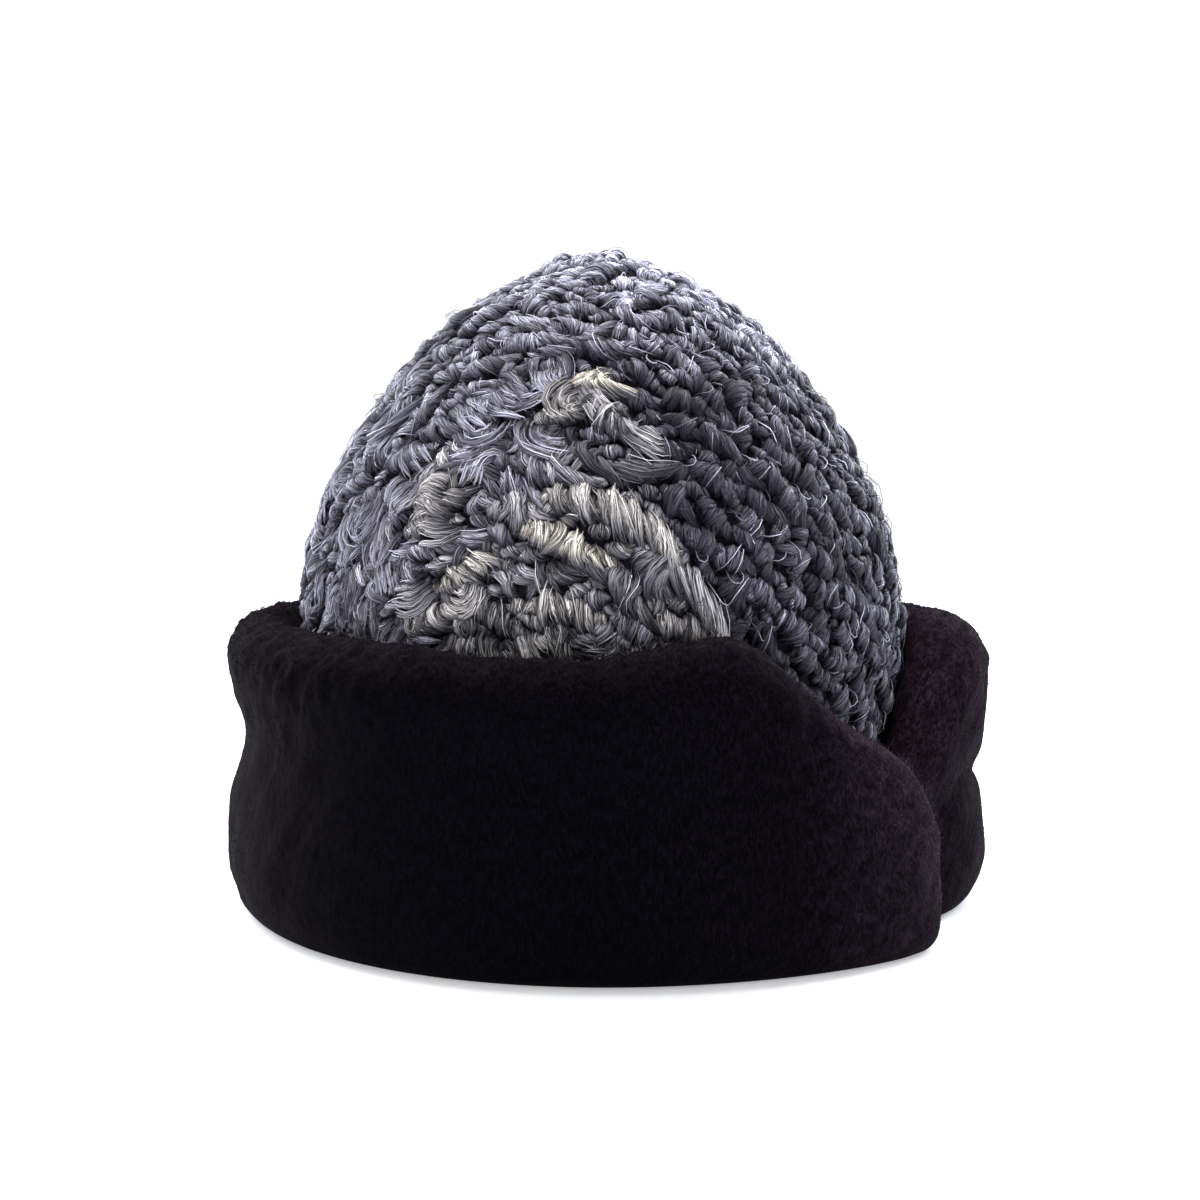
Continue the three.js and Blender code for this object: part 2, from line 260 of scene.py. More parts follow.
def soft_noise(points, size, seed, waves=7):
    """A smooth value from about -1 to 1 in space: the mean of sine waves in scattered directions,
    whose wavelengths lie round 'size'."""
    own = np.random.default_rng(seed)
    directions = unit(own.normal(size=(waves, 3))) * own.uniform(0.7, 1.5, (waves, 1))
    phases = own.uniform(0, 2 * np.pi, waves)
    return np.sin(points @ directions.T * (2 * np.pi / size) + phases).sum(-1) / math.sqrt(waves)


print("a ring of 4 points and 3 rows has", len(ring_faces(3, 4)), "faces")

# %% [markdown]
# The crown's outline
#
# The dome is round in plan, so it could be turned like a pot. Its profile is one smooth curve through
# a few measured shares of its height and radius, a Catmull-Rom curve, because that runs through its
# points and needs no handles.

# %% Crown outline
OUTLINE_HEIGHTS = np.array([1.0, 0.997, 0.948, 0.869, 0.748, 0.622, 0.5, 0.4, 0.29, 0.0])
OUTLINE_RADII = np.array([0.0, 0.115, 0.335, 0.56, 0.765, 0.92, 0.99, 1.0, 0.97, 0.9])


def smooth_path(values, per_span=40):
    """Points on a Catmull-Rom curve through the given values, evenly in its parameter."""
    before = np.concatenate([values[:1], values[:-2]])
    start, end = values[:-1], values[1:]
    after = np.concatenate([values[2:], values[-1:]])
    t = np.linspace(0, 1, per_span, endpoint=False)[None, :, None]
    before, start, end, after = (v[:, None, :] for v in (before, start, end, after))
    leave, arrive = (end - before) / 2, (after - start) / 2
    curve = (2 * start - 2 * end + leave + arrive) * t**3
    curve += (-3 * start + 3 * end - 2 * leave - arrive) * t**2 + leave * t + start
    return np.concatenate([curve.reshape(-1, 2), values[-1:]])


profile = smooth_path(np.stack([OUTLINE_RADII * CROWN_RADIUS, OUTLINE_HEIGHTS * CROWN_HEIGHT], -1))
profile_steps = np.linalg.norm(np.diff(profile, axis=0), axis=1)
profile_down = np.concatenate([[0], np.cumsum(profile_steps)])
profile_along = unit(np.gradient(profile, profile_down, axis=0))
print("way down the profile", round(profile_down[-1] / MM), "mm")

# %% [markdown]
# Places on the crown
#
# The curls lie on the dome by two coordinates, the azimuth round the hat and the way down from the
# top along the profile, and by a lift along the normal. Height instead of the way down would squeeze
# the curls near the top, where the dome is flat. These coordinates keep a curl at its real size
# anywhere. The crown is two skins, sewn together in a seam on the front and one at the back.


# %% Places on the crown
def profile_at(down):
    """Radius, height, and the profile's direction there, at a way down from the top."""
    radius = np.interp(down, profile_down, profile[:, 0])
    height = np.interp(down, profile_down, profile[:, 1])
    along_r = np.interp(down, profile_down, profile_along[:, 0])
    along_z = np.interp(down, profile_down, profile_along[:, 1])
    return radius, height, along_r, along_z


def down_at_height(height):
    """The way down from the top at which the profile has a height."""
    return np.interp(-np.asarray(height), -profile[:, 1], profile_down)


def on_crown(azimuth, down, lift):
    """The point at an azimuth (radians) and a way down, moved out along the normal by lift."""
    radius, height, along_r, along_z = profile_at(down)
    r = radius - along_z * lift
    z = height + along_r * lift
    return np.stack([CROWN_CENTRE_X + r * np.sin(azimuth), -r * np.cos(azimuth), z], -1)


SEAM_HEIGHTS = [60, 100, 170, 224]
SEAM_AZIMUTHS = [21.0, 19.5, 7.5, 5.0]
BACK_SEAM = math.radians(192)


def seam_azimuth(height):
    """Where the front seam lies: it comes straight down from the top and drifts to the right."""
    return np.radians(np.interp(height / MM, SEAM_HEIGHTS, SEAM_AZIMUTHS))


def is_dark_side(azimuth, height):
    """Whether a place on the crown is on the dark half, from the front seam round to the back one."""
    past = np.mod(azimuth - seam_azimuth(height), 2 * np.pi)
    return past < BACK_SEAM - seam_azimuth(height)


print("top of the crown", np.round(on_crown(0.0, 0.0, 0.0) / MM, 1), "mm")

# %% [markdown]
# The cuff's strip
#
# The cuff is one padded strip that runs round the hat and laps over its own end at the front right.
# It could be laid flat, sewn and filled by a cloth simulation, as a cushion is. But this strip is no
# even tube: the photo shows how its edge rises and dips, where its waist is pulled in, and how the
# cut end slopes, and pressure would even all that out and push the lap into the crown. So a short
# table says how high the strip stands, how full it is, and how it dips round its waist, at each
# azimuth along it. It is the same strip as the solid's, so that the fur sits where the solid does.

# %% Cuff table
STRIP_COLUMNS = ("azimuth", "top", "bottom", "full", "under", "over", "waist", "waist_at", "crease")
STRIP = np.array([
    (46, 0.22, 0.1, 0.25, 1, 0, 0, 0.5, 0),
    (48, 0.36, 0.02, 0.75, 1, 0, 0, 0.5, 0),
    (51, 0.44, 0, 1, 1, 0, 0, 0.5, 0),
    (58, 0.51, 0, 1, 1, 0, 0.02, 0.55, 0.3),
    (64, 0.58, 0, 1, 0.8, 0, 0.06, 0.55, 0.6),
    (68, 0.7, 0, 1, 0.55, 0, 0.12, 0.55, 0.8),
    (72, 0.86, 0, 1, 0.32, 0, 0.18, 0.52, 0.9),
    (77, 0.96, 0, 1, 0.12, 0, 0.22, 0.49, 1),
    (84, 0.995, 0, 1, 0, 0, 0.22, 0.47, 1),
    (100, 1, 0, 1, 0, 0, 0.22, 0.48, 0.8),
    (140, 0.985, 0, 1, 0, 0, 0.2, 0.52, 0.2),
    (180, 1, 0, 1, 0, 0, 0.17, 0.55, 0),
    (220, 0.99, 0, 1, 0, 0, 0.22, 0.58, 0),
    (260, 1.015, 0, 1, 0, 0, 0.23, 0.6, 0),
    (284, 1.015, 0, 1, 0, 0, 0.23, 0.6, 0),
    (308, 1, 0, 1, 0, 0, 0.18, 0.6, 0),
    (330, 0.99, 0, 1, 0, 0, 0.12, 0.6, 0),
    (342, 0.968, 0, 1, 0, 0, 0.1, 0.6, 0),
    (360, 0.975, 0, 1, 0, 0, 0.1, 0.58, 0),
    (370, 1.015, 0, 1, 0, 0.04, 0.1, 0.55, 0),
    (376, 1.03, 0, 1, 0, 0.12, 0.08, 0.52, 0),
    (382, 0.98, 0, 1, 0, 0.24, 0.06, 0.5, 0),
    (388, 0.87, 0, 1, 0, 0.4, 0.05, 0.5, 0),
    (394, 0.77, 0, 1, 0, 0.6, 0.05, 0.52, 0),
    (400, 0.69, 0, 1, 0, 0.84, 0.06, 0.55, 0.3),
    (405, 0.61, 0, 1, 0, 1, 0.07, 0.58, 0.5),
    (409, 0.5, 0, 0.94, 0, 1, 0.07, 0.6, 0.5),
    (412, 0.4, 0.01, 0.74, 0, 1, 0.03, 0.6, 0.5),
    (413.6, 0.28, 0.08, 0.36, 0, 1, 0, 0.6, 0),
])

CUFF_CLEARANCE = 0.5 * MM
CUFF_THICKNESS = 27 * MM
UNDERLAP_THICKNESS = 10 * MM
LAP_CLEARANCE = 1 * MM
LAP_BULGE = 2.5 * MM
FOOT_HEIGHT = 23 * MM
CREST_HEIGHT = 17 * MM
CREST_DROP = 14 * MM
MOUTH_HEIGHT = 12 * MM
WAIST_REACH = 17 * MM
FOOT_START, CREST_LINE, FOOT_END = 0.17, 0.45, 0.6
CUFF_INNER = CROWN_RADIUS + CUFF_CLEARANCE
CUFF_OUTER = CUFF_INNER + CUFF_THICKNESS
LAP_INNER = CUFF_INNER + UNDERLAP_THICKNESS + LAP_CLEARANCE
print("strip from", STRIP[0, 0], "to", STRIP[-1, 0], "degrees, radius", round(CUFF_OUTER / MM, 1), "mm")

# %% [markdown]
# The cuff's cross-section
#
# Across, the strip is a flat foot, a tall outer face, a rounded crest and an inner face that follows
# the crown. It could be drawn as one closed curve and swept, but each of these parts has its own
# size that changes along the strip. So the way round is cut into seven spans, and each corner is a
# quarter of an ellipse between its neighbours.


# %% Cuff surface
SPANS = np.array([0, 0.06, 0.17, 0.4, 0.56, 0.68, 0.9, 1.0])


def smooth_column(name, at):
    """One column of the strip's table at many azimuths, by monotone cubic pieces: between two rows
    it never rises above the higher or falls below the lower."""
    x = STRIP[:, 0]
    y = STRIP[:, STRIP_COLUMNS.index(name)]
    rise = np.diff(y) / np.diff(x)
    before = np.concatenate([rise[:1], rise])
    after = np.concatenate([rise, rise[-1:]])
    turns = before * after <= 0
    slope = np.where(turns, 0, 2 * before * after / np.where(turns, 1, before + after))
    i = np.clip(np.searchsorted(x, at, side="right") - 1, 0, len(x) - 2)
    width = x[i + 1] - x[i]
    t = np.clip((at - x[i]) / width, 0, 1)
    blend = t * t * (3 - 2 * t)
    leave = t * (1 - t) ** 2 * width * slope[i]
    arrive = t * t * (t - 1) * width * slope[i + 1]
    return y[i] + (y[i + 1] - y[i]) * blend + leave + arrive


def cuff_surface(azimuth, turn):
    """Points on the strip's skin. azimuth is in degrees along the strip, and turn runs from 0 to 1
    round the cross-section: out along the flat foot, up the outer face, over the crest and down the
    inner face. Returns radius and height. Each corner is a quarter of an ellipse."""
    row = {name: smooth_column(name, azimuth) for name in STRIP_COLUMNS[1:]}
    top, bottom = row["top"] * CUFF_HEIGHT, row["bottom"] * CUFF_HEIGHT
    size = (top - bottom) / CUFF_HEIGHT
    offset = CROWN_CENTRE_X * np.sin(np.radians(azimuth))
    inner = lerp(CUFF_INNER + offset, LAP_INNER, row["over"])
    outer = lerp(CUFF_OUTER, CUFF_INNER + UNDERLAP_THICKNESS, row["under"]) + row["over"] * LAP_BULGE
    foot_in, crest, foot_out = (lerp(inner, outer, s) for s in (FOOT_START, CREST_LINE, FOOT_END))
    waist = lerp(bottom, top, row["waist_at"])

    def outer_face(height):
        away = np.abs(height - waist) / WAIST_REACH
        dip = lerp(np.exp(-away * away), np.exp(-2 * away), row["crease"])
        return outer - row["waist"] * CUFF_THICKNESS * dip

    def inner_face(height):
        over_crown = profile_at(down_at_height(height))[0] + offset + CUFF_CLEARANCE
        return lerp(over_crown, LAP_INNER, row["over"])

    foot_top = bottom + FOOT_HEIGHT * size
    crest_foot = top - CREST_HEIGHT * size
    crest_in = top - CREST_DROP * size
    mouth_top = bottom + MOUTH_HEIGHT * size
    part = np.clip(np.searchsorted(SPANS, turn, side="right") - 1, 0, len(SPANS) - 2)
    t = (turn - SPANS[part]) / (SPANS[part + 1] - SPANS[part])
    angle = t * np.pi / 2
    sin, cos = np.sin(angle), np.cos(angle)
    spans = [part == k for k in range(len(SPANS) - 1)]
    height = np.select(
        spans,
        [bottom, foot_top - FOOT_HEIGHT * size * cos, lerp(foot_top, crest_foot, t),
         crest_foot + CREST_HEIGHT * size * sin, crest_in + CREST_DROP * size * cos,
         lerp(crest_in, mouth_top, t), mouth_top - MOUTH_HEIGHT * size * sin],
    )
    out, back = outer_face(height), inner_face(height)
    radius = np.select(
        spans,
        [lerp(foot_in, foot_out, t), lerp(foot_out, out, sin), out, lerp(crest, out, cos),
         lerp(crest, back, sin), back, lerp(foot_in, back, cos)],
    )
    middle = (inner + outer) / 2
    return lerp(middle, radius, row["full"]), height


def cuff_top(azimuth):
    """The height of the cuff's crest at an azimuth, whichever end of the strip stands higher."""
    turned = np.mod(np.degrees(azimuth), 360)
    first = np.where(turned >= STRIP[0, 0], smooth_column("top", turned), 0)
    again = np.where(turned + 360 <= STRIP[-1, 0], smooth_column("top", turned + 360), 0)
    return np.maximum(first, again) * CUFF_HEIGHT


print("cuff height at the front", round(float(cuff_top(0.0)) / MM, 1), "mm")

# %% [markdown]
# Streaks along the hair
#
# Curled lambskin is seen as thousands of fine hairs that lie side by side and shine together. No
# mesh can hold them all, so each modelled lock stands for a bundle, and its surface is streaked along
# the hairs, in colour and in relief. A picture of hair would do it, but it would be stretched on
# every lock. Here the streaks are a noise on the UV map, fine across the hair and long along it. The
# locks and the sheared fur share this group, each with its own scale.


# %% Streak group
def new_group(name, inputs, outputs):
    """An empty shader group whose sockets are all numbers, with (name, default) inputs."""
    group = bpy.data.node_groups.new(name, "ShaderNodeTree")
    for label, default in inputs:
        socket = group.interface.new_socket(label, in_out="INPUT", socket_type="NodeSocketFloat")
        socket.default_value = default
    for label in outputs:
        group.interface.new_socket(label, in_out="OUTPUT", socket_type="NodeSocketFloat")
    return group


def combed_streaks():
    """Streaks along the hair. Puts out how light the hair is, 0 to 1, and its relief."""
    scales = [("Hairs per metre", 2800.0), ("Changes per metre", 90.0), ("Waviness", 0.0014)]
    group = new_group("combed_streaks", scales, ["Light", "Relief"])
    link = group.links.new
    enter = group.nodes.new("NodeGroupInput")
    leave = group.nodes.new("NodeGroupOutput")
    comb = add_node(group, "ShaderNodeUVMap", uv_map="comb")
    split = group.nodes.new("ShaderNodeSeparateXYZ")
    link(comb.outputs["UV"], split.inputs["Vector"])
    wander = add_node(group, "ShaderNodeTexNoise", Scale=260.0, Detail=1.0)
    link(comb.outputs["UV"], wander.inputs["Vector"])
    sway = add_node(group, "ShaderNodeMath", operation="MULTIPLY_ADD")
    link(wander.outputs["Fac"], sway.inputs[0])
    link(enter.outputs["Waviness"], sway.inputs[1])
    link(split.outputs["X"], sway.inputs[2])
    across = add_node(group, "ShaderNodeMath", operation="MULTIPLY")
    link(sway.outputs["Value"], across.inputs[0])
    link(enter.outputs["Hairs per metre"], across.inputs[1])
    along = add_node(group, "ShaderNodeMath", operation="MULTIPLY")
    link(enter.outputs["Changes per metre"], along.inputs[1])
    link(split.outputs["Y"], along.inputs[0])
    place = group.nodes.new("ShaderNodeCombineXYZ")
    link(across.outputs["Value"], place.inputs["X"])
    link(along.outputs["Value"], place.inputs["Y"])
    hairs = add_node(group, "ShaderNodeTexNoise", Scale=1.0, Detail=3.0, Roughness=0.8)
    link(place.outputs["Vector"], hairs.inputs["Vector"])
    spread = group.nodes.new("ShaderNodeMapRange")
    set_range(spread, 0.44, 0.6, "From")
    link(hairs.outputs["Fac"], spread.inputs["Value"])
    link(spread.outputs["Result"], leave.inputs["Light"])
    link(hairs.outputs["Fac"], leave.inputs["Relief"])
    return group


STREAKS = combed_streaks()
print("streak group", len(STREAKS.nodes), "nodes")

# %% [markdown]
# Finishes of the lambskin
#
# The real hair is grey because light and dark hairs grow mixed, and each has a soft shine. One
# material for each shade would need dozens. So the shade is stored with the points of the mesh,
# with painted highlight and painted shade round each roll in it, and the material only darkens and
# lightens it: by the streaks on the locks, and by a fine mottle on single strands and on the hide,
# which are too thin or too plain for streaks.


# %% Lambskin materials
def shade_tint(tree, shader, amount, low, high):
    """Base colour: the points' tint times a value between low and high, by an amount from 0 to 1."""
    tint = add_node(tree, "ShaderNodeAttribute", attribute_name="tint")
    shade = tree.nodes.new("ShaderNodeMapRange")
    set_range(shade, low, high)
    tree.links.new(amount, shade.inputs["Value"])
    colour = add_node(tree, "ShaderNodeVectorMath", operation="SCALE")
    tree.links.new(tint.outputs["Color"], colour.inputs[0])
    tree.links.new(shade.outputs["Result"], colour.inputs["Scale"])
    tree.links.new(colour.outputs["Vector"], shader.inputs["Base Color"])


def streaked_material(name, low, high, strength, relief, scales, **sockets):
    """Combed hair: the streak group shades the tint and gives the relief, in metres."""
    material, tree, shader = new_material(name, **sockets)
    streaks = add_node(tree, "ShaderNodeGroup", node_tree=STREAKS)
    for label, value in scales.items():
        streaks.inputs[label].default_value = value
    shade_tint(tree, shader, streaks.outputs["Light"], low, high)
    bump = add_node(tree, "ShaderNodeBump", Strength=strength, Distance=relief)
    tree.links.new(streaks.outputs["Relief"], bump.inputs["Height"])
    tree.links.new(bump.outputs["Normal"], shader.inputs["Normal"])
    return material


def strand_material(name, roughness, gloss):
    """Single strands of hair, or plain hide, with a fine mottle."""
    material, tree, shader = new_material(name, Roughness=roughness, Specular_IOR_Level=gloss)
    fine = add_node(tree, "ShaderNodeTexNoise", Scale=900.0, Detail=1.0)
    place = tree.nodes.new("ShaderNodeTexCoord")
    tree.links.new(place.outputs["Object"], fine.inputs["Vector"])
    shade_tint(tree, shader, fine.outputs["Fac"], 0.7, 1.3)
    return material


SOFT_SHINE = {"Roughness": 0.45, "Specular_IOR_Level": 0.12}
CURLS_PALE = streaked_material("curled_lambskin_pale", 0.05, 2.4, 0.9, 0.6 * MM, {}, **SOFT_SHINE)
CURLS_DARK = streaked_material("curled_lambskin_dark", 0.05, 2.5, 0.9, 0.6 * MM, {}, **SOFT_SHINE)
HAIRS = strand_material("lambskin_hair", 0.36, 0.2)
HIDE = strand_material("hide", 0.9, 0.05)
print("finishes", [material.name for material in (CURLS_PALE, CURLS_DARK, HAIRS, HIDE)])

# %% [markdown]
# The hide
#
# Under the curls is a hide about two millimetres thick, in two halves that meet in a seam. Between
# the curls its outside is near black, dark underwool with painted shade in it, and round the top it
# is painted a lighter grey, which lightens the shade in the partings there; inside the hat it is
# plain tan skin. A flat sheet with a Solidify modifier would do, but it couldn't be deep under the
# curls and close behind the cuff at once. So each half is a shell: the outer and the inner profile
# are carried round half the hat, and joined at the hem and at the seams. Where the cuff's ends lap,
# the hem reaches out as a dark lip, which closes the wedge between them as the sewn edge does.

# %% Hide halves
HIDE_OUTSIDE = 4.9 * MM
HIDE_INSIDE = 7.2 * MM
SEAM_GAP = 0.3 * MM
# Near black outside, between the curls: dark underwool with painted shade.
HIDE_UNDERWOOL_AND_SHADE = np.array([0.011, 0.010, 0.014])
HIDE_INNER = np.array([0.36, 0.31, 0.25])
# Lighter grey round the top: painted light that lightens the shade in the partings there.
HIDE_TOP_PAINTED_LIGHT = np.array([0.1, 0.097, 0.118])
TOP_REACH = 60 * MM
CURLS_FROM = 44 * MM
HEM_HEIGHT = 10 * MM
LAP_LIP = 8 * MM
LAP_MIDDLE = 53
LAP_REACH = 20
LIP_TOP, LIP_FULL = 14 * MM, 4 * MM


def hide_half(name, dark_side, material):
    """A shell over one half. The azimuth runs from seam to seam at each height, so that the front
    edge follows the seam's drift."""
    columns, rows = 40, 28
    down = np.linspace(0.3 * MM, down_at_height(CROWN_FOOT), rows)
    height = profile_at(down)[1]
    plain = np.clip((CURLS_FROM - height) / (CURLS_FROM - HEM_HEIGHT), 0, 1)
    low = np.clip(down / TOP_REACH, 0, 1)
    outside = -lerp(HIDE_OUTSIDE * lerp(0.6, 1, low), 0.3 * MM, plain)
    inside = -lerp(HIDE_INSIDE, 2 * MM, plain)
    loop_down = np.concatenate([down, down[::-1]])
    loop_lift = np.concatenate([outside, inside[::-1]])
    loop_height = np.concatenate([height, height[::-1]])
    gap = SEAM_GAP / 2 / np.maximum(profile_at(loop_down)[0], 5 * MM)
    front = seam_azimuth(loop_height)
    start = front + gap if dark_side else np.full_like(front, BACK_SEAM) + gap
    end = np.full_like(front, BACK_SEAM) - gap if dark_side else front + 2 * np.pi - gap
    t = np.linspace(0, 1, columns)[:, None]
    azimuth = lerp(start[None, :], end[None, :], t)
    lip = LAP_LIP * np.exp(-((np.degrees(azimuth) - LAP_MIDDLE) / LAP_REACH)**4)
    lip = lip * np.clip((LIP_TOP - loop_height) / (LIP_TOP - LIP_FULL), 0, 1)
    lip[:, rows:] = 0
    points = on_crown(azimuth, loop_down[None, :] + 0 * azimuth, loop_lift[None, :] + lip)
    faces = ring_faces(columns, 2 * rows)
    cap = np.arange(rows - 1)
    far = (columns - 1) * 2 * rows
    first = np.stack([cap, cap + 1, 2 * rows - 2 - cap, 2 * rows - 1 - cap], -1)
    last = first[:, ::-1] + far
    tint = np.tile(HIDE_INNER, (columns, 2 * rows, 1))
    # Outside: painted lighter round the top, near black with painted shade further down.
    tint[:, :rows] = lerp(HIDE_TOP_PAINTED_LIGHT, HIDE_UNDERWOOL_AND_SHADE, low[:, None])
    faces = np.concatenate([faces[:, ::-1], first[:, ::-1], last[:, ::-1]])
    return add_piece(name, points, faces, material, tint)


pale_hide = hide_half("hide_pale_half", False, HIDE)
dark_hide = hide_half("hide_dark_half", True, HIDE)

# %% [markdown]
# Where the curls grow
#
# Lambskin curls are rolls: the hair grows up, turns over a ridge and tucks in again on the lower
# side, like a small breaking wave. The ridges follow one another in slanting rows, which arch over
# the front of the dome. The two halves come from different skins: on the pale one the rolls are
# long and loose, and on the dark one short and tight, and round the top all are small ringlets. A
# regular grid of rolls would look knitted. So each roll is one entry in a set of arrays, drawn at
# random: its place, the heading of its ridge, its length, its radius and how it bends.


# %% Random curls
def choose(curls, which):
    """The same arrays for some of the curls only."""
    return {name: values[which] for name, values in curls.items()}


HEADING_AZIMUTHS = [-180, -135, -90, -50, -25, 0, 20, 60, 100, 140, 180]
HEADING_ANGLES = [0, -35, -50, -38, -5, 25, 45, 50, 45, 30, 0]


def curl_headings(azimuth, down, stray):
    """The heading of each ridge: by azimuth, with a soft wander, and at random near the top."""
    flow = np.radians(np.interp(np.degrees(azimuth), HEADING_AZIMUTHS, HEADING_ANGLES, period=360))
    low = np.clip(down / TOP_REACH, 0, 1)
    wander = soft_noise(on_crown(azimuth, down, 0 * down), 55 * MM, 5)
    return flow * low + np.radians(24) * wander + stray * (1.25 - low)


def random_curls(count, small):
    """Rolls at random places, even over the crown's surface, with random sizes. Small ones are for
    the gaps between the others, and lie a little deeper."""
    share = np.cumsum(profile[:, 0]) / profile[:, 0].sum()
    down = np.interp(rng.uniform(0, 1, count), share, profile_down)
    down = np.clip(down, 2 * MM, down_at_height(42 * MM))
    azimuth = rng.uniform(0, 2 * np.pi, count)
    dark = is_dark_side(azimuth, profile_at(down)[1])
    low = np.clip(down / TOP_REACH, 0, 1)
    length = np.where(dark, rng.uniform(11, 20, count), rng.uniform(15, 30, count)) * MM
    radius = np.where(dark, rng.uniform(4.6, 6.1, count), rng.uniform(4.7, 6.6, count)) * MM
    length = lerp(rng.uniform(9, 14, count) * MM, length, low)
    radius = lerp(rng.uniform(3.6, 4.8, count) * MM, radius, low)
    if small:
        length = rng.uniform(6, 10, count) * MM
        radius = rng.uniform(2.6, 3.6, count) * MM
    stray = rng.normal(0, 0.8, count)
    return {
        "azimuth": azimuth,
        "down": down,
        "dark": dark,
        "place": on_crown(azimuth, down, 0 * down),
        "heading": curl_headings(azimuth, down, stray * (1.6 if small else 1)),
        "length": length,
        "radius": radius,
        "bend": rng.normal(0, 0.5, count),
        "skew": rng.normal(0.45, 0.4, count),
        "sway": rng.normal(0, 0.3, count),
        "phase": rng.uniform(0, 1, count),
        "sink": rng.uniform(-0.8, 2.0, count) * MM + small * 1.4 * MM,
    }


print("headings from", min(HEADING_ANGLES), "to", max(HEADING_ANGLES), "degrees")

# %% [markdown]
# Packing the rolls
#
# On the skin the rolls lie close, with only a parting between them, and none grows through another.
# They could be pushed apart step by step, but it is simpler to put them down one by one: of many
# random tries the one with the most room stays, until no try has room enough. Room is measured with
# long narrow ovals, as the rolls are. The large waves on the front are what one knows this hat by,
# so they are set down first, where the photo shows them.


# %% Packing

def ridge_direction(curls):
    """The direction of each ridge in space."""
    azimuth = curls["azimuth"]
    _, _, along_r, along_z = profile_at(curls["down"])
    east = np.stack([np.cos(azimuth), np.sin(azimuth), 0 * azimuth], -1)
    south = np.stack([along_r * np.sin(azimuth), -along_r * np.cos(azimuth), along_z], -1)
    return np.cos(curls["heading"])[:, None] * east + np.sin(curls["heading"])[:, None] * south


def reach_to(gap, ridge, length, radius):
    """How far a gap between two rolls is, in lengths along a ridge and widths in the other two
    directions."""
    along = (gap * ridge).sum(-1)
    beside = np.sqrt(np.maximum((gap**2).sum(-1) - along**2, 0))
    return np.maximum(np.hypot(along / length, beside / (1.85 * radius)), 1e-6)


def room_round(tries, curls):
    """How much room each of some tried rolls has. The distance to each roll already there is taken
    once by the tried roll's measures and once by the other's, and the harmonic mean of the two is 1
    where they just touch."""
    gap = curls["place"][None] - tries["place"][:, None]
    tried = (ridge_direction(tries), tries["length"], tries["radius"])
    other = (ridge_direction(curls), curls["length"], curls["radius"])
    by_tried = reach_to(gap, *(values[:, None] for values in tried))
    by_other = reach_to(gap, *(values[None] for values in other))
    return (2 / (1 / by_tried + 1 / by_other)).min(1)


BIG_LOCKS = [
    # azimuth, height, length, radius, heading, bend, skew and sink, in degrees and millimetres
    (2, 138, 48, 7.0, 25, 1.0, 0.8, -1.2),
    (-8, 129, 32, 5.2, 22, 0.4, 0.7, -0.6),
    (-1, 177, 20, 5.2, 5, 0.5, 0.2, -0.6),
    (-10, 167, 14, 4.6, -15, 0.3, 0.2, 0),
    (-33, 154, 20, 5.0, -38, 0.2, 0.3, 0),
    (-24, 118, 24, 6.0, -30, -0.6, 0.3, 0),
    (-6, 108, 26, 5.6, 12, 0.5, 0.3, 0),
    (13, 102, 22, 5.2, 20, 0.6, 0.3, 0),
    (-30, 104, 24, 5.6, -20, 0.4, 0.3, 0),
]


TRIES = 120
BEHIND_CUFF = 11 * MM


def fill_crown():
    """Rolls added one by one, each where the roomiest of many random tries is, until none has room.
    The small ones follow when the others are in place."""
    curls = random_curls(len(BIG_LOCKS), False)
    azimuth, height, length, radius, heading, bend, skew, sink = np.array(BIG_LOCKS).T
    curls.update(azimuth=np.radians(azimuth), heading=np.radians(heading), bend=bend, skew=skew)
    curls.update(length=length * MM, radius=radius * MM, sink=sink * MM, down=down_at_height(height * MM))
    curls["place"] = on_crown(curls["azimuth"], curls["down"], 0 * curls["down"])
    curls["dark"] = is_dark_side(curls["azimuth"], profile_at(curls["down"])[1])
    for small, least_room in ((False, 0.7), (True, 0.67)):
        while True:
            tries = random_curls(TRIES, small)
            room = room_round(tries, curls)
            best = room.argmax()
            if room[best] < least_room:
                break
            for name, values in curls.items():
                curls[name] = np.append(values, tries[name][best:best + 1], 0)
    above_cuff = profile_at(curls["down"])[1] > cuff_top(curls["azimuth"]) - BEHIND_CUFF
    return choose(curls, above_cuff)


curls = fill_crown()
pale_curls, dark_curls = choose(curls, ~curls["dark"]), choose(curls, curls["dark"])
print("curls", len(pale_curls["azimuth"]), "pale", len(dark_curls["azimuth"]), "dark")

# %% [markdown]
# Colour of the wool
#
# The wool is grey because dark and white hairs grow mixed, so each curl gets a share of light hair
# rather than one grey. On the dark half the share is least beside the seam, and round the top it is
# large on both. On the pale half the tips are cream in some patches. Painting them by hand would be
# quick, but a painted layer is hard to move. So the patches are soft spots, given by where they lie
# on the dome and how wide they are, and two more such spots darken and lighten the wool.

# %% Wool colours
CHARCOAL = np.array([0.008, 0.007, 0.014])
SILVER = np.array([0.72, 0.71, 0.88])
CREAM = np.array([0.95, 0.88, 0.74])
CREAM_SPOTS = (
    # azimuth in degrees, height and width in millimetres, strength
    (-2, 132, 24, 0.9),
    (12, 112, 20, 0.5),
    (-20, 108, 24, 0.7),
    (-30, 140, 16, 0.6),
    (-10, 98, 28, 0.6),
    (10, 98, 20, 0.4),
    (-45, 100, 18, 0.3),
    (0, 172, 11, 1.0),
)
DARK_SHARE_AZIMUTHS = [-180, -168, 0, 15, 45, 70, 95, 150, 180]
DARK_SHARE = [0.26, 0.26, 0.14, 0.07, 0.1, 0.19, 0.28, 0.22, 0.26]


def soft_spot(place, azimuth, height, width):
    """1 at the middle of a spot, falling as a bell curve over its width."""
    centre = on_crown(math.radians(azimuth), down_at_height(height * MM), 0.0)
    away = np.linalg.norm(place - centre, axis=-1) / (width * MM)
    return np.exp(-away * away)


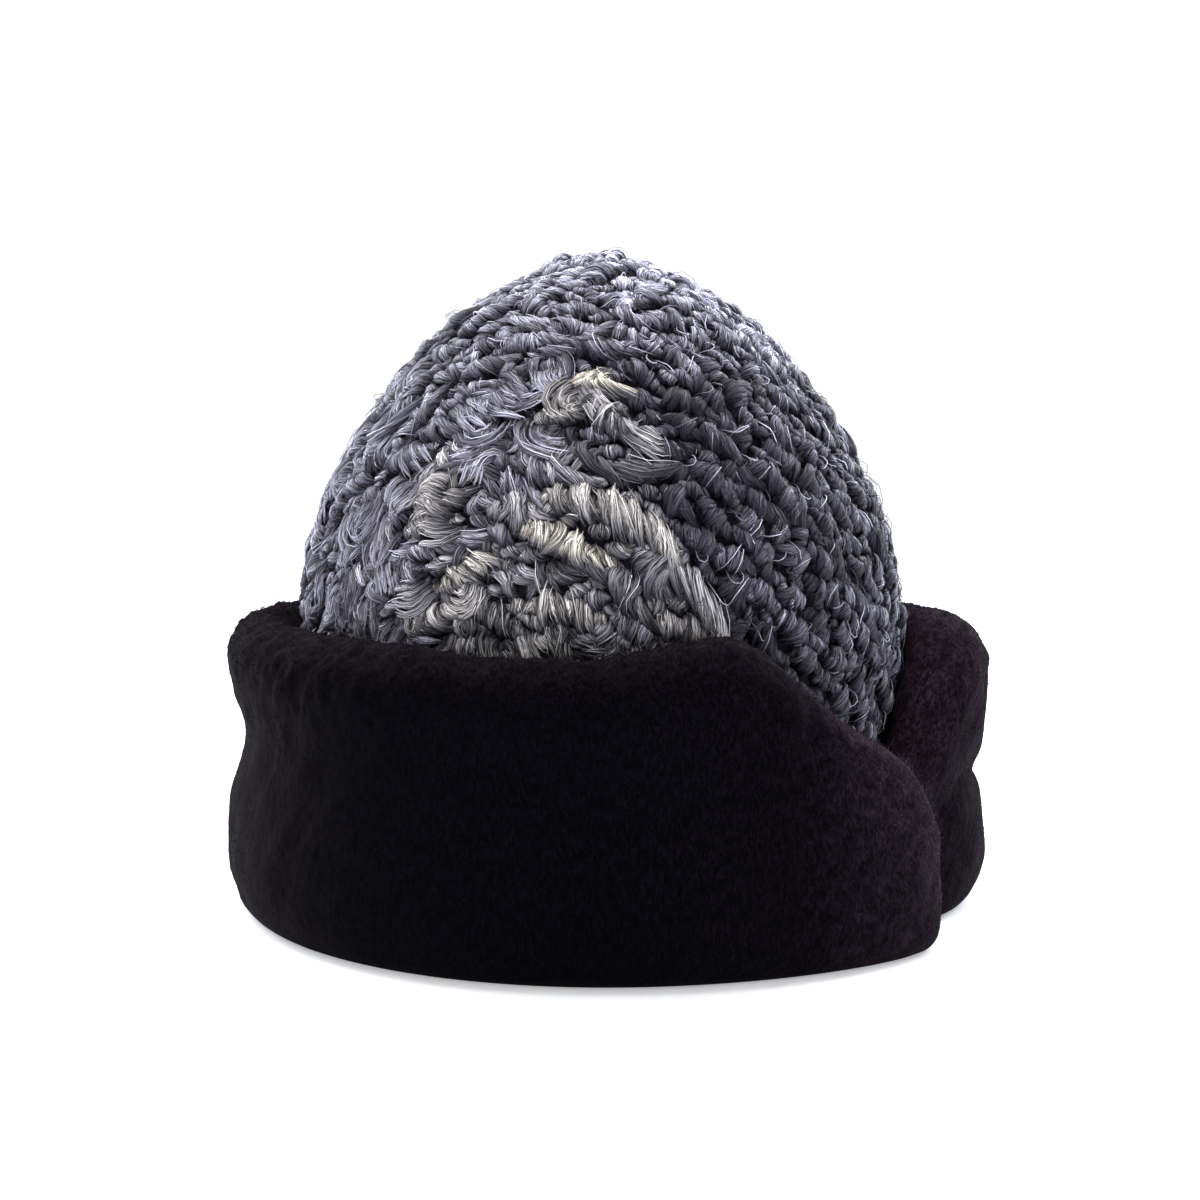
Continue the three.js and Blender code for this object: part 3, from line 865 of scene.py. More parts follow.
def cream_share(place):
    """How much of the light hair is cream at a place: the strongest of the soft spots."""
    share = np.zeros(place.shape[:-1])
    for azimuth, height, width, strength in CREAM_SPOTS:
        share = np.maximum(share, strength * soft_spot(place, azimuth, height, width))
    return share


DIM_SPOT = (6, 153, 17)
BRIGHT_SPOT = (45, 178, 26)


def light_share(curls):
    """How much of a curl's hair is light: by side, by azimuth, and more than half round the top. It
    is less over the waves on the front, and more high on the right."""
    place = curls["place"]
    degrees = np.degrees(curls["azimuth"])
    low = np.clip(curls["down"] / TOP_REACH - np.where(curls["dark"], 0.5, 0.3), 0, 1)
    dark = np.interp(degrees, DARK_SHARE_AZIMUTHS, DARK_SHARE, period=360)
    top = np.where(curls["dark"], 0.84, 0.58)
    base = lerp(top, np.where(curls["dark"], dark, 0.26), low)
    share = base * np.exp(0.15 * soft_noise(place, 45 * MM, 11) + rng.normal(0, 0.3, len(place)))
    share = share * (1 - 0.4 * soft_spot(place, *DIM_SPOT) + 0.35 * soft_spot(place, *BRIGHT_SPOT))
    return np.clip(share, 0.06, 0.9)


for half in (pale_curls, dark_curls):
    count = len(half["place"])
    half["cream"] = cream_share(half["place"]) * ~half["dark"] * rng.uniform(0.3, 1.1, count)
    half["light"] = np.clip(light_share(half) + 0.1 * half["cream"], 0, 1)
    loose = np.where(half["dark"], rng.normal(0.05, 0.1, count), rng.normal(0.45, 0.22, count))
    half["loose"] = np.clip(loose, 0, 1) * np.clip(half["down"] / TOP_REACH - 0.2, 0, 1)
    print("light share", half["light"].mean().round(2), "cream share", half["cream"].mean().round(2))

BIG_LOCK_LIGHT = (0.58, 0.64, 0.8, 0.45, 0.4, 0.42, 0.4, 0.4, 0.4)
BIG_LOCK_CREAM = (0.6, 0.8, 0.9, 0.5, 0.3, 0.7, 0.6, 0.5, 0.5)
pale_curls["light"][:len(BIG_LOCKS)] = BIG_LOCK_LIGHT
pale_curls["cream"][:len(BIG_LOCKS)] = BIG_LOCK_CREAM
pale_curls["loose"][:len(BIG_LOCKS)] = 0.3

# %% [markdown]
# The shape of a roll
#
# A roll is a bent ridge with hair turned round it. Everything on it, from its core to the last
# strand, has to follow the same bend, or it would come apart. So one function turns places on a roll
# (along the ridge, across it, and up) into points in space, and another says how thick the roll is
# along its ridge, with the necks that part one small curl from the next.


# %% Roll shape
LOWEST_LIFT = -6.6 * MM
NECK_SPACING = 9 * MM


def along_curl(curls, t, across, lift):
    """Points of many curls. t runs from -0.5 to 0.5 along the ridge, across is the way from the
    ridge towards its lower side, and lift is over the crown's outline. The ridge's heading turns by
    'bend' from end to end, and the way across fans out at the ends. Arrays have one row per curl."""
    column = (-1, *([1] * (t.ndim - 1)))
    heading, bend, length = (curls[name].reshape(column) for name in ("heading", "bend", "length"))
    x = length * (t * np.cos(heading) - bend * t * t * np.sin(heading) / 2)
    y = length * (t * np.sin(heading) + bend * t * t * np.cos(heading) / 2)
    turned = heading + bend * t - 0.9 * np.clip(2 * t, -1, 1) ** 3
    x = x - across * np.sin(turned)
    y = y + across * np.cos(turned)
    down = np.maximum(curls["down"].reshape(column) + y, 0.4 * MM)
    radius = np.maximum(profile_at(curls["down"])[0], 7 * MM).reshape(column)
    azimuth = curls["azimuth"].reshape(column) + x / radius
    return on_crown(azimuth, down, np.maximum(lift, LOWEST_LIFT))


def fullness(t, curls):
    """The share of its radius that a roll has along its ridge: full in the middle, round at the
    ends, with a neck every nine millimetres or so, where one curl ends and the next begins."""
    column = (-1, *([1] * (t.ndim - 1)))
    curls_long = curls["length"].reshape(column) / NECK_SPACING
    neck = np.cos(2 * np.pi * (t * curls_long + curls["bend"].reshape(column)))
    return np.sqrt(np.clip(1 - (2 * np.abs(t)) ** 2.6, 0.1, 1)) * (0.87 + 0.13 * neck)


longest = pale_curls["length"].max() / MM
print("longest roll", round(longest), "mm, deepest place", LOWEST_LIFT / MM, "mm under the outline")

# %% [markdown]
# Hair as swept tubes
#
# A lock of hair is a long body that comes to a point at both ends. It could be a curve with a bevel,
# one object for each, but there are tens of thousands. So one function sweeps a small cross-section
# along all paths at once and gives the points and triangles of the whole piece. A strand has three
# sides, and a combed lock is flat, with four. The colour of hair is mixed from three: charcoal,
# silver and cream.


# %% Sweep and tint
TRIANGLE = np.array([(1, 0), (-0.5, 0.87), (-0.5, -0.87)])
FLAT_LOCK = np.array([(1, -0.12), (0.42, 0.3), (-0.42, 0.3), (-1, -0.12)])


def sweep(paths, outward, widths, section):
    """Tubes along paths that come to a point at both ends. widths are those of the inner steps,
    (N, steps - 2), and section is the (across, out) points of the cross-section, in half widths.
    Returns the points, (N, P, 3): the root, the rings and the tip, and triangles."""
    count, steps, _ = paths.shape
    sides = len(section)
    along = unit(np.gradient(paths, axis=1))
    side = unit(np.cross(along, outward))
    up = np.cross(side, along)
    ring = side[:, 1:-1, None] * section[:, :1] + up[:, 1:-1, None] * section[:, 1:]
    body = (paths[:, 1:-1, None] + ring * widths[..., None, None] / 2).reshape(count, -1, 3)
    points = np.concatenate([paths[:, :1], body, paths[:, -1:]], 1)
    per = points.shape[1]
    c = np.arange(sides)
    n = (c + 1) % sides
    k = 1 + np.arange(steps - 3)[:, None] * sides
    a, b, d, e = k + c, k + n, k + sides + n, k + sides + c
    walls = np.stack([np.stack([a, b, d], -1), np.stack([a, d, e], -1)]).reshape(-1, 3)
    last = per - 1 - sides
    tip = np.stack([last + c, last + n, np.full(sides, per - 1)], -1)
    root = np.stack([1 + n, 1 + c, np.zeros(sides, int)], -1)
    faces = np.concatenate([walls, tip, root])
    faces = (faces[None] + (np.arange(count) * per)[:, None, None]).reshape(-1, 3)
    return points, faces


def per_point(values, sides):
    """Values at the steps of each path, repeated for the points of the swept tube."""
    return np.concatenate([values[:, :1], np.repeat(values[:, 1:-1], sides, 1), values[:, -1:]], 1)


def wool_tint(light, cream):
    """The colour of hair with a share of light and, in the light, a share of cream."""
    pale = lerp(SILVER, CREAM, np.clip(cream, 0, 1)[..., None])
    return lerp(CHARCOAL, pale, np.clip(light, 0, 1.2)[..., None])


print("half light hair", np.round(wool_tint(np.array(0.5), np.array(0.0)), 2))

# %% [markdown]
# Cores
#
# Between the locks of a real curl one looks into the dark underwool. Without it the hide would show
# there, flat and bare. So along each ridge lies a dark five-sided tube, as thick as the roll is
# inside, which fills the roll and carries the locks. Its darkness is the underwool's, with painted
# shade in it. Its outer side gets a painted highlight, and round the top of the hat the whole tube is
# painted lighter, which lightens the partings there.


# %% Cores
CORE_SHARE = 0.83


def add_cores(name, curls, material):
    """The inside of each roll: a dark tube along the ridge, with the comb running round it."""
    count, steps, sides = len(curls["azimuth"]), 6, 5
    t = 0.48 * np.sin(np.linspace(-1, 1, steps) * np.pi / 2)[None, :] * np.ones((count, 1))
    own = curls["radius"][:, None]
    lift = -own - curls["sink"][:, None] + 0 * t
    paths = along_curl(curls, t, 0 * t, lift)
    outward = unit(paths - along_curl(curls, t, 0 * t, lift - 1 * MM))
    turn = np.arange(sides) / sides
    section = np.stack([np.cos(2 * np.pi * turn), np.sin(2 * np.pi * turn)], -1)
    points, faces = sweep(paths, outward, 2 * CORE_SHARE * own * fullness(t[:, 1:-1], curls), section)
    ring = np.concatenate([[0], np.tile(turn, steps - 2), [0]])[None, :]
    ridge = per_point(t * curls["length"][:, None], sides) + curls["bend"][:, None]
    uv = np.stack(np.broadcast_arrays(ridge, ring * 6 * own), -1)
    low = np.clip(curls["down"][:, None] / TOP_REACH, 0, 1)
    # Painted light: lighter round the top of the hat, and a painted highlight on the tube's outer side.
    lit = lerp(0.4, 0.07, low) + 0.25 * np.clip(np.sin(2 * np.pi * ring), 0, 1) ** 1.5
    tint = wool_tint(lit * curls["light"][:, None], 0.7 * curls["cream"][:, None] + 0 * lit)
    return add_piece(name, points, faces, material, tint, uv)


pale_cores = add_cores("cores_pale_half", pale_curls, CURLS_PALE)
dark_cores = add_cores("cores_dark_half", dark_curls, CURLS_DARK)

# %% [markdown]
# Wisps
#
# Hair on a roll keeps together in wisps. Each follows the roll's curve: its root stands on the upper
# side, it bends over the ridge, and its tip tucks under on the lower side. Placed one by one the
# wisps would be noise. So they stand in a row along the ridge and share its wave, each a little
# later in it, and differ only a little in size, lean and brightness. In the loose wool of the pale
# half the arc is flatter and waves sideways, and the tips lift off.


# %% Wisps
ROOT_ANGLE = math.radians(172)
TIP_ANGLE = math.radians(-38)


def make_wisps(curls, spacing):
    """The wisps of all rolls: a row along each ridge. Neighbours share their curl's wave, each a
    little later in it, so that they run side by side."""
    each = np.maximum(3, np.round(curls["length"] / spacing)).astype(int)
    index = np.repeat(np.arange(len(each)), each)
    order = np.arange(len(index)) - np.repeat(np.cumsum(each) - each, each)
    wisps = choose(curls, index)
    count = len(index)
    loose = wisps["loose"]
    wisps["t"] = ((order + 0.5) / each[index] - 0.5) * 0.94 + rng.normal(0, 0.02, count)
    wisps["spread"] = 0.6 * spacing / wisps["length"]
    wisps["size"] = 1 + rng.normal(0, 0.1, count)
    wisps["start"] = ROOT_ANGLE + rng.normal(0, 0.2, count)
    wisps["end"] = TIP_ANGLE + rng.uniform(0, 1.5 + 0.3 * loose, count)
    wisps["lean"] = wisps["skew"] * (1 + 1.6 * loose) + loose + rng.normal(0, 0.44, count)
    wisps["sway"] = (wisps["sway"] + rng.normal(0, 0.12, count)) * (0.7 + 2.0 * loose)
    wisps["phase"] = wisps["phase"] + 0.6 * wisps["t"] + rng.normal(0, 0.04, count)
    wisps["bright"] = np.exp(rng.normal(0, 0.38, count))
    return wisps


def hair_paths(own, start, end, aside, size, lean, v):
    """Paths of hair, (N, steps, 3), and the unit directions out of the roll there. The hair goes
    round the ridge from its start angle to its end angle while it leans and waves along the ridge,
    and what starts aside of its wisp draws in towards the tip."""
    loose, radius = own["loose"][:, None], own["radius"][:, None]
    angle = lerp(start, end, v)
    full = fullness(own["t"][:, None], own)
    r = radius * full * size * (1 - 0.25 * v**2)
    wave = own["sway"][:, None] * np.sin(np.pi * (1 + 1.4 * loose) * v + 2 * np.pi * own["phase"][:, None])
    t = own["t"][:, None] + aside * (1 - 0.55 * v**1.5)
    t = t + (lean * (v - 0.4) + wave) * radius / own["length"][:, None]
    middle = -radius - own["sink"][:, None] + radius * 0.25 * (1 - full)
    lift = middle + r * np.sin(angle) + loose * (v - 0.6) * 2.4 * MM
    across = r * np.cos(angle) * (1.08 + 0.6 * loose)
    paths = along_curl(own, t, across, lift)
    axis = along_curl(own, t, 0 * t, np.broadcast_to(middle, t.shape))
    return paths, unit(paths - axis), angle


def painted_light_round_roll(own, angle):
    """Painted light on the hair by its place round the roll: a painted highlight just above the crest,
    painted shade in the parting above and more on the lower side. Near the top of the hat the
    partings are painted lighter."""
    upper = np.clip((np.sin(angle - 0.35) + 0.05) / 1.05, 0, 1)
    low = np.clip(own["down"][:, None] / TOP_REACH, 0, 1)
    gain = lerp(1.3, 1.05, np.clip(own["loose"], 0, 1))[:, None] * lerp(0.64, 1, low)
    return lerp(0.52, 0.035, low) + gain * upper**3.1


print("hair turns", round(math.degrees(ROOT_ANGLE - TIP_ANGLE)), "degrees round a roll")

# %% [markdown]
# Locks and strands
#
# What covers a roll is flat, pointed locks that overlap like combed hair, with the streaks along
# them, and over these go single strands, which give the fine glints and the rough outline. Strands
# alone would need millions, and locks alone look like carved wood. So there is a lock for each wisp,
# and some thousands of strands lie over them, about one in six of them astray.


# %% Locks and strands
def lock_across(steps):
    """Where each point of a lock lies across it, from -1 to 1."""
    return np.concatenate([[0], np.tile(FLAT_LOCK[:, 0], steps - 2), [0]])[None, :]


def add_locks(name, wisps, steps, spacing, material):
    """One flat pointed lock for each wisp, with the comb along it. Neighbours overlap, so that their
    tops run on into one another like combed hair."""
    count, sides = len(wisps["t"]), len(FLAT_LOCK)
    v = np.linspace(0, 1, steps)[None, :]
    names = ("start", "end", "size", "lean", "bright", "cream", "light")
    column = {key: wisps[key][:, None] for key in names}
    span = (column["start"], column["end"])
    paths, outward, angle = hair_paths(wisps, *span, 0, 0.97 * column["size"], column["lean"], v)
    shape = np.sin(np.pi * (0.24 + 0.74 * v[:, 1:-1]))
    width = 2.3 * spacing * rng.uniform(0.75, 1.2, (count, 1)) * shape
    points, faces = sweep(paths, outward, width, FLAT_LOCK)
    across = lock_across(steps)
    along = per_point(v * np.ones((count, 1)) * 4 * wisps["radius"][:, None], sides)
    around = across * 1.1 * spacing + rng.uniform(0, 1, (count, 1))
    uv = np.stack(np.broadcast_arrays(around, along), -1)
    # Painted light round the roll: a painted highlight over the crest, painted shade below it and in the
    # partings, and cream only where the painted light is.
    crest = painted_light_round_roll(wisps, angle)
    light = 0.8 * column["bright"] * column["light"] * crest
    light = light + 0.25 * column["cream"] * column["light"] * v**3
    cream = column["cream"] * np.clip(0.1 + crest + 0.5 * v**3, 0, 1)
    # The edges of each lock, which lie under its neighbours, are painted darker: painted shade.
    tint = wool_tint(per_point(light, sides) * (1 - 0.4 * across**2), per_point(cream, sides))
    return add_piece(name, points, faces, material, tint, uv)


def add_strands(name, wisps, total, steps):
    """About 'total' strands of hair over the locks."""
    weights = (wisps["radius"] + 2 * MM) * (0.8 + 0.8 * wisps["loose"])
    each = rng.poisson(total * weights / weights.sum())
    own = choose(wisps, np.repeat(np.arange(len(each)), each))
    count = each.sum()
    v = np.linspace(0, 1, steps)[None, :]
    start = (own["start"] + rng.normal(0, 0.14, count))[:, None]
    end = (own["end"] + rng.normal(0, 0.35, count))[:, None]
    astray = np.where(rng.uniform(0, 1, count) < 0.17, rng.uniform(0.08, 0.3, count), 0)
    aside = (rng.uniform(-1.2, 1.2, count) * own["spread"])[:, None]
    size = (own["size"] * (1.03 + np.abs(rng.normal(0, 0.1, count)) + astray))[:, None]
    lean = (own["lean"] + rng.normal(0, 0.4, count) * (1 + 4 * astray))[:, None]
    paths, outward, angle = hair_paths(own, start, end, aside, size, lean, v)
    width = rng.uniform(0.18, 0.32, (count, 1)) * MM * np.linspace(1.1, 0.75, steps - 2)[None, :]
    points, faces = sweep(paths, outward, width, TRIANGLE)
    pick = rng.uniform(0, 1, count) / np.maximum(own["light"], 0.05)
    white = rng.uniform(0.7, 1.2, count)
    grey = rng.uniform(0.15, 0.4, count)
    black = rng.uniform(0, 0.06, count)
    shade = np.where(pick < 0.9, white, np.where(pick < 1.4, grey, black))
    shade = lerp(0.55, shade, 0.4 + 0.6 * np.clip(own["down"] / TOP_REACH, 0, 1))
    # Painted light round the roll, as on the locks: a painted highlight over the crest, painted shade below
    # it and in the partings, and cream only where the painted light is.
    crest = painted_light_round_roll(own, angle)
    light = (shade * own["bright"])[:, None] * (0.1 + 0.9 * crest)
    cream = own["cream"][:, None] * np.clip(0.1 + crest, 0, 1)
    return add_piece(name, points, faces, HAIRS, per_point(wool_tint(light, cream), len(TRIANGLE)))


def add_wool(name, curls, spacing, lock_steps, strands, strand_steps, material):
    """The locks of some curls and the strands over them, as two pieces."""
    wisps = make_wisps(curls, spacing)
    locks = add_locks("locks_" + name, wisps, lock_steps, spacing, material)
    return [locks, add_strands("strands_" + name, wisps, strands, strand_steps)]


print("sides of a lock and a strand", len(FLAT_LOCK), len(TRIANGLE))

# %% [markdown]
# Free locks
#
# On the pale half some wool has come out of its rolls and lies over them in flat waves, and on the
# dark half single pale hairs have sprung up. They could be more rolls, but they cross the rows and
# the partings. So they have paths of their own over the crown: the root is deep between the rolls,
# the heading swings along the lock, and the tip hooks round.


# %% Free locks
WAVES_AT = (2, 132, 35)
LOCKS_BESIDE = 6
LOCK_SPACING = 2.1 * MM


def free_locks(groups, dark_side, first, last, low, high):
    """Locks that lie over the rolls, at random places between two azimuths in degrees and two
    heights in millimetres. On the pale half several lie side by side and share a wave. On the dark
    half they are single stray hairs. None of the pale ones lie over the big waves on the front."""
    each = 1 if dark_side else LOCKS_BESIDE
    count = groups * each
    order = np.tile(np.arange(each) - (each - 1) / 2, groups)

    def shared(values):
        return np.repeat(values, each)

    azimuth = shared(np.radians(rng.uniform(first, last, groups)))
    down = shared(down_at_height(rng.uniform(low, high, groups) * MM))
    place = on_crown(azimuth, down, 0 * down)
    dark = is_dark_side(azimuth, profile_at(down)[1])
    swirl = np.radians(50) * soft_noise(place, 45 * MM, 51) + shared(rng.normal(0, 0.25, groups))
    sign = np.where(rng.uniform(0, 1, groups) < 0.65, -1, 1)
    hook = rng.uniform(1.0, 4.0, groups) if dark_side else rng.uniform(0.4, 2.2, groups)
    length = rng.uniform(9, 16, groups) if dark_side else rng.uniform(15, 23, groups)
    wide = rng.uniform(0.17, 0.29, count) if dark_side else rng.uniform(2.6, 4.0, count)
    locks = {
        "azimuth": azimuth,
        "down": down,
        "place": place,
        "order": order,
        "heading": np.radians(90) + swirl + rng.normal(0, 0.06, count),
        "length": length[np.arange(count) // each] * rng.uniform(0.8, 1.1, count) * MM,
        "sway": shared(rng.uniform(0.3, 0.75, groups)),
        "phase": shared(rng.uniform(0, 1, groups)) + 0.035 * order,
        "hook": shared(sign * hook) * rng.uniform(0.8, 1.2, count),
        "rise": shared(rng.uniform(-1.2, 0.3, groups)) * MM + rng.normal(0, 0.2, count) * MM,
        "wide": wide * MM,
    }
    locks["dark"] = dark
    locks["cream"] = cream_share(place) * ~dark
    locks["light"] = shared(np.clip(light_share(locks)[::each] + 0.25 * locks["cream"][::each], 0, 1))
    locks["bright"] = np.exp(rng.normal(0, 0.25, count))
    away = soft_spot(place, *WAVES_AT) < math.exp(-1)
    return choose(locks, (dark == dark_side) & (dark | away))


def free_paths(own, aside, v):
    """Paths of free locks over the crown and the unit directions outwards. The heading swings along
    the lock and hooks at its tip, and the root is deep between the rolls."""
    column = {name: own[name][:, None] for name in ("heading", "sway", "phase", "hook", "length", "rise")}
    aside = aside + own["order"][:, None] * LOCK_SPACING
    heading = column["heading"] + column["sway"] * np.sin(2 * np.pi * (v + column["phase"]))
    heading = heading + column["hook"] * v**2.5
    step = column["length"] / (v.shape[1] - 1)
    x = np.cumsum(np.cos(heading), 1) * step - aside * (1 - 0.45 * v) * np.sin(heading)
    y = np.cumsum(np.sin(heading), 1) * step + aside * (1 - 0.45 * v) * np.cos(heading)
    down = np.maximum(own["down"][:, None] + y, 1 * MM)
    azimuth = own["azimuth"][:, None] + x / np.maximum(profile_at(own["down"])[0], 9 * MM)[:, None]
    lift = np.interp(v, [0, 0.3, 0.65, 1], [-6.0, -0.8, 0.2, -1.8]) * MM + column["rise"]
    paths = on_crown(azimuth, down, lift)
    return paths, unit(paths - on_crown(azimuth, down, lift - 1 * MM))


def add_free_wool(name, locks, steps, each, material):
    """Each free lock as one flat pointed body with 'each' strands of hair beside it."""
    count, sides = len(locks["azimuth"]), len(FLAT_LOCK)
    v = np.linspace(0, 1, steps)[None, :]
    paths, outward = free_paths(locks, 0, v)
    shape = np.sin(np.pi * (0.2 + 0.78 * v[:, 1:-1]))
    points, faces = sweep(paths, outward, locks["wide"][:, None] * shape, FLAT_LOCK)
    across = lock_across(steps) * 1.5 * MM + rng.uniform(0, 1, (count, 1))
    uv = np.stack([across, per_point(v * locks["length"][:, None], sides)], -1)
    tip = 0.08 + 0.92 * np.clip(v / 0.65, 0, 1) ** 2
    light = (0.9 * locks["bright"] * locks["light"])[:, None] * tip
    cream = locks["cream"][:, None] * (0.5 + 0.7 * v)
    tint = wool_tint(per_point(light, sides), per_point(cream, sides))
    bodies = add_piece("locks_" + name, points, faces, material, tint, uv)
    own = choose(locks, np.repeat(np.arange(count), each))
    aside = (rng.uniform(-0.6, 0.6, count * each) * own["wide"])[:, None]
    own["heading"] = own["heading"] + rng.normal(0, 0.05, count * each)
    own["rise"] = own["rise"] + rng.uniform(0.2, 0.8, count * each) * MM
    own["length"] = own["length"] * rng.uniform(0.85, 1.12, count * each)
    paths, outward = free_paths(own, aside, v)
    width = rng.uniform(0.18, 0.3, (count * each, 1)) * MM * np.ones((1, steps - 2))
    points, faces = sweep(paths, outward, width, TRIANGLE)
    shade = own["bright"] * np.where(rng.uniform(0, 1, count * each) < 0.35 + own["light"], 1, 0.12)
    tint = wool_tint(shade[:, None] * tip, own["cream"][:, None] * (0.5 + 0.7 * v))
    strands = add_piece("strands_" + name, points, faces, HAIRS, per_point(tint, len(TRIANGLE)))
    return [bodies, strands]


print("free locks keep away from the waves at azimuth and height", WAVES_AT[:2])

# %% [markdown]
# Growing the wool
#
# All of this costs triangles, and a piece that is looked at from near needs more of them than one at
# the back. Equal shares would starve the front. So the wool is grown in parts: close to the seam on
# the front the locks stand nearest to each other and have the most steps, and at the back they are
# wider and fewer.


# %% Grow the wool
def is_front(curls):
    """Whether a curl lies on the front half of the crown."""
    return np.cos(curls["azimuth"]) > 0


in_front = is_front(pale_curls)
near_seam = np.cos(pale_curls["azimuth"] + 0.15) > 0.82
pale_wool = [
    *add_wool("pale_front", choose(pale_curls, in_front & near_seam), 1.7 * MM, 10, 3100, 7, CURLS_PALE),
    *add_wool("pale_side", choose(pale_curls, in_front & ~near_seam), 2.2 * MM, 9, 2500, 6, CURLS_PALE),
    *add_wool("pale_back", choose(pale_curls, ~in_front), 2.8 * MM, 8, 1200, 6, CURLS_PALE),
    *add_free_wool("pale_free", free_locks(92, False, -80, 18, 96, 190), 10, 2, CURLS_PALE),
    *add_free_wool("pale_free_back", free_locks(34, False, 195, 280, 100, 190), 9, 2, CURLS_PALE),
]
in_front = is_front(dark_curls)
dark_wool = [
    *add_wool("dark_front", choose(dark_curls, in_front), 1.8 * MM, 8, 4400, 6, CURLS_DARK),
    *add_wool("dark_back", choose(dark_curls, ~in_front), 2.7 * MM, 8, 1400, 6, CURLS_DARK),
    *add_free_wool("dark_free", free_locks(340, True, 5, 180, 80, 215), 9, 1, CURLS_DARK),
]
print("pieces of wool", len(pale_wool), "pale", len(dark_wool), "dark")

# %% [markdown]
# Finish of the cuff
#
# Sheared fur is nearly black where the pile is packed and seen from the tips, and brown where it
# opens: on the crest, at the lapped ends and in soft tufts. Part of the brown is painted light: more
# brown on faces that turn up and near the crest, as if lit from above, more round the right side and
# the lapped end, as if lit from the right, and none by azimuth on the left. It has hardly any gloss,
# only a faint light on hairs seen edge on. A velvet shader alone makes it look like cloth. So the nap
# is the streak group at a coarser scale, combed down the strip, with a little sheen, and the brown,
# real and painted, is stored with the points.


# %% Sheared fur
CUFF_BLACK = np.array([0.0013, 0.0010, 0.0022])
CUFF_BROWN = np.array([0.0190, 0.0116, 0.0188])
# Share of brown round the strip, real brown and painted light: most on the right and the lapped end, none on
# the left.
BROWN_AND_LIT_AZIMUTHS = [46, 64, 90, 180, 250, 300, 360, 384, 396, 406, 413.6]
BROWN_AND_LIT_SHARE = [0.2, 0.42, 0.46, 0.08, 0.0, 0.0, 0.0, 0.1, 0.54, 0.76, 0.95]


NAP = {"Hairs per metre": 1100.0, "Changes per metre": 260.0, "Waviness": 0.004}
CUFF_FUR = streaked_material(
    "sheared_fur", 0.4, 1.8, 0.5, 0.9 * MM, NAP, Roughness=0.9, Specular_IOR_Level=0.02,
    Sheen_Weight=0.022, Sheen_Roughness=0.32, Sheen_Tint=(1.0, 0.74, 0.86, 1),
)


def cuff_tint(azimuth, points, normal):
    """The colour of the fur: black where it is packed and brown where the pile opens, at the lapped
    ends and in soft tufts. Part of the brown is painted light: it grows on faces that turn up, near the
    crest, and by azimuth on the right and the lapped end."""
    below = smooth_column("top", azimuth) * CUFF_HEIGHT - points[..., 2]
    # Brown by azimuth and by nearness to the crest: real brown and painted light from the right and above.
    share = np.interp(azimuth, BROWN_AND_LIT_AZIMUTHS, BROWN_AND_LIT_SHARE) * np.interp(below, [0, 34 * MM], [1.25, 0.5])
    # Painted light: faces that turn up are browner, as if lit from above.
    share = share + 0.19 * np.clip(normal[..., 2], 0, 1) ** 1.5
    share = share * (1 + 0.4 * np.clip(soft_noise(points, 8 * MM, 41, 12), -1, 2))
    return lerp(CUFF_BLACK, CUFF_BROWN, np.clip(share, 0, 1)[..., None])


print("brownest at", BROWN_AND_LIT_AZIMUTHS[int(np.argmax(BROWN_AND_LIT_SHARE))], "degrees")

# %% [markdown]
# Skin of the cuff
#
# The cuff is soft padding in a skin of sheared fur, which parts into low clumps. The clumps could be
# a bump in the material, but then the outline would be as smooth as plastic. So the strip's own
# surface is moved in and out along its normal by smooth noise, stretched down the nap, and most of
# all near the crest. The foot stays flat, because the hat stands on it.


# %% Cuff skin
GROOVE_AT = 386.5
GROOVE_WIDTH = 1.6
GROOVE_DEPTH = 1.6 * MM
FLAT_UP_TO = 9 * MM
SKIN_LIFT = -0.6 * MM
ROUND_STRIP = 0.26


def cuff_place(azimuth, turn, lift):
    """Points on the cuff's skin, moved out along its normal by lift and by the fur's soft clumps.
    The normal is across the cross-section, from small steps along it. A shallow groove runs down
    the front where the lapped end begins."""
    step = 2e-3
    r0, z0 = cuff_surface(azimuth, np.mod(turn - step, 1))
    r1, z1 = cuff_surface(azimuth, np.mod(turn + step, 1))
    r, z = cuff_surface(azimuth, turn)
    n_r, n_z = z1 - z0, -(r1 - r0)
    size = np.maximum(np.hypot(n_r, n_z), 1e-9)
    n_r, n_z = n_r / size, n_z / size
    a = np.radians(azimuth)
    flat = np.stack([r * np.sin(a), -r * np.cos(a), z], -1)
    high = np.clip((z - 60 * MM) / (30 * MM), 0, 1)
    combed = np.stack([flat[..., 0], flat[..., 1], 0.45 * flat[..., 2] + 0.2 * r * np.sin(3 * a)], -1)
    clumps = 0.3 * MM * soft_noise(flat, 19 * MM, 21)
    clumps = clumps + (0.06 + 0.38 * high) * MM * soft_noise(combed, 6 * MM, 22, 12)
    clumps = clumps + (0.1 + 0.16 * high) * MM * soft_noise(combed, 3.2 * MM, 23, 14)
    groove = np.exp(-(((azimuth - GROOVE_AT) / GROOVE_WIDTH) ** 2)) * np.clip(n_r, 0, 1)
    groove = groove * np.clip(z / (35 * MM), 0, 1) * GROOVE_DEPTH
    out = (lift + clumps) * np.clip(z / FLAT_UP_TO, 0, 1) - groove
    normal = np.stack([n_r * np.sin(a), -n_r * np.cos(a), n_z], -1)
    point = flat + normal * out[..., None]
    point[..., 2] = np.maximum(point[..., 2], 0.0)
    return point, normal


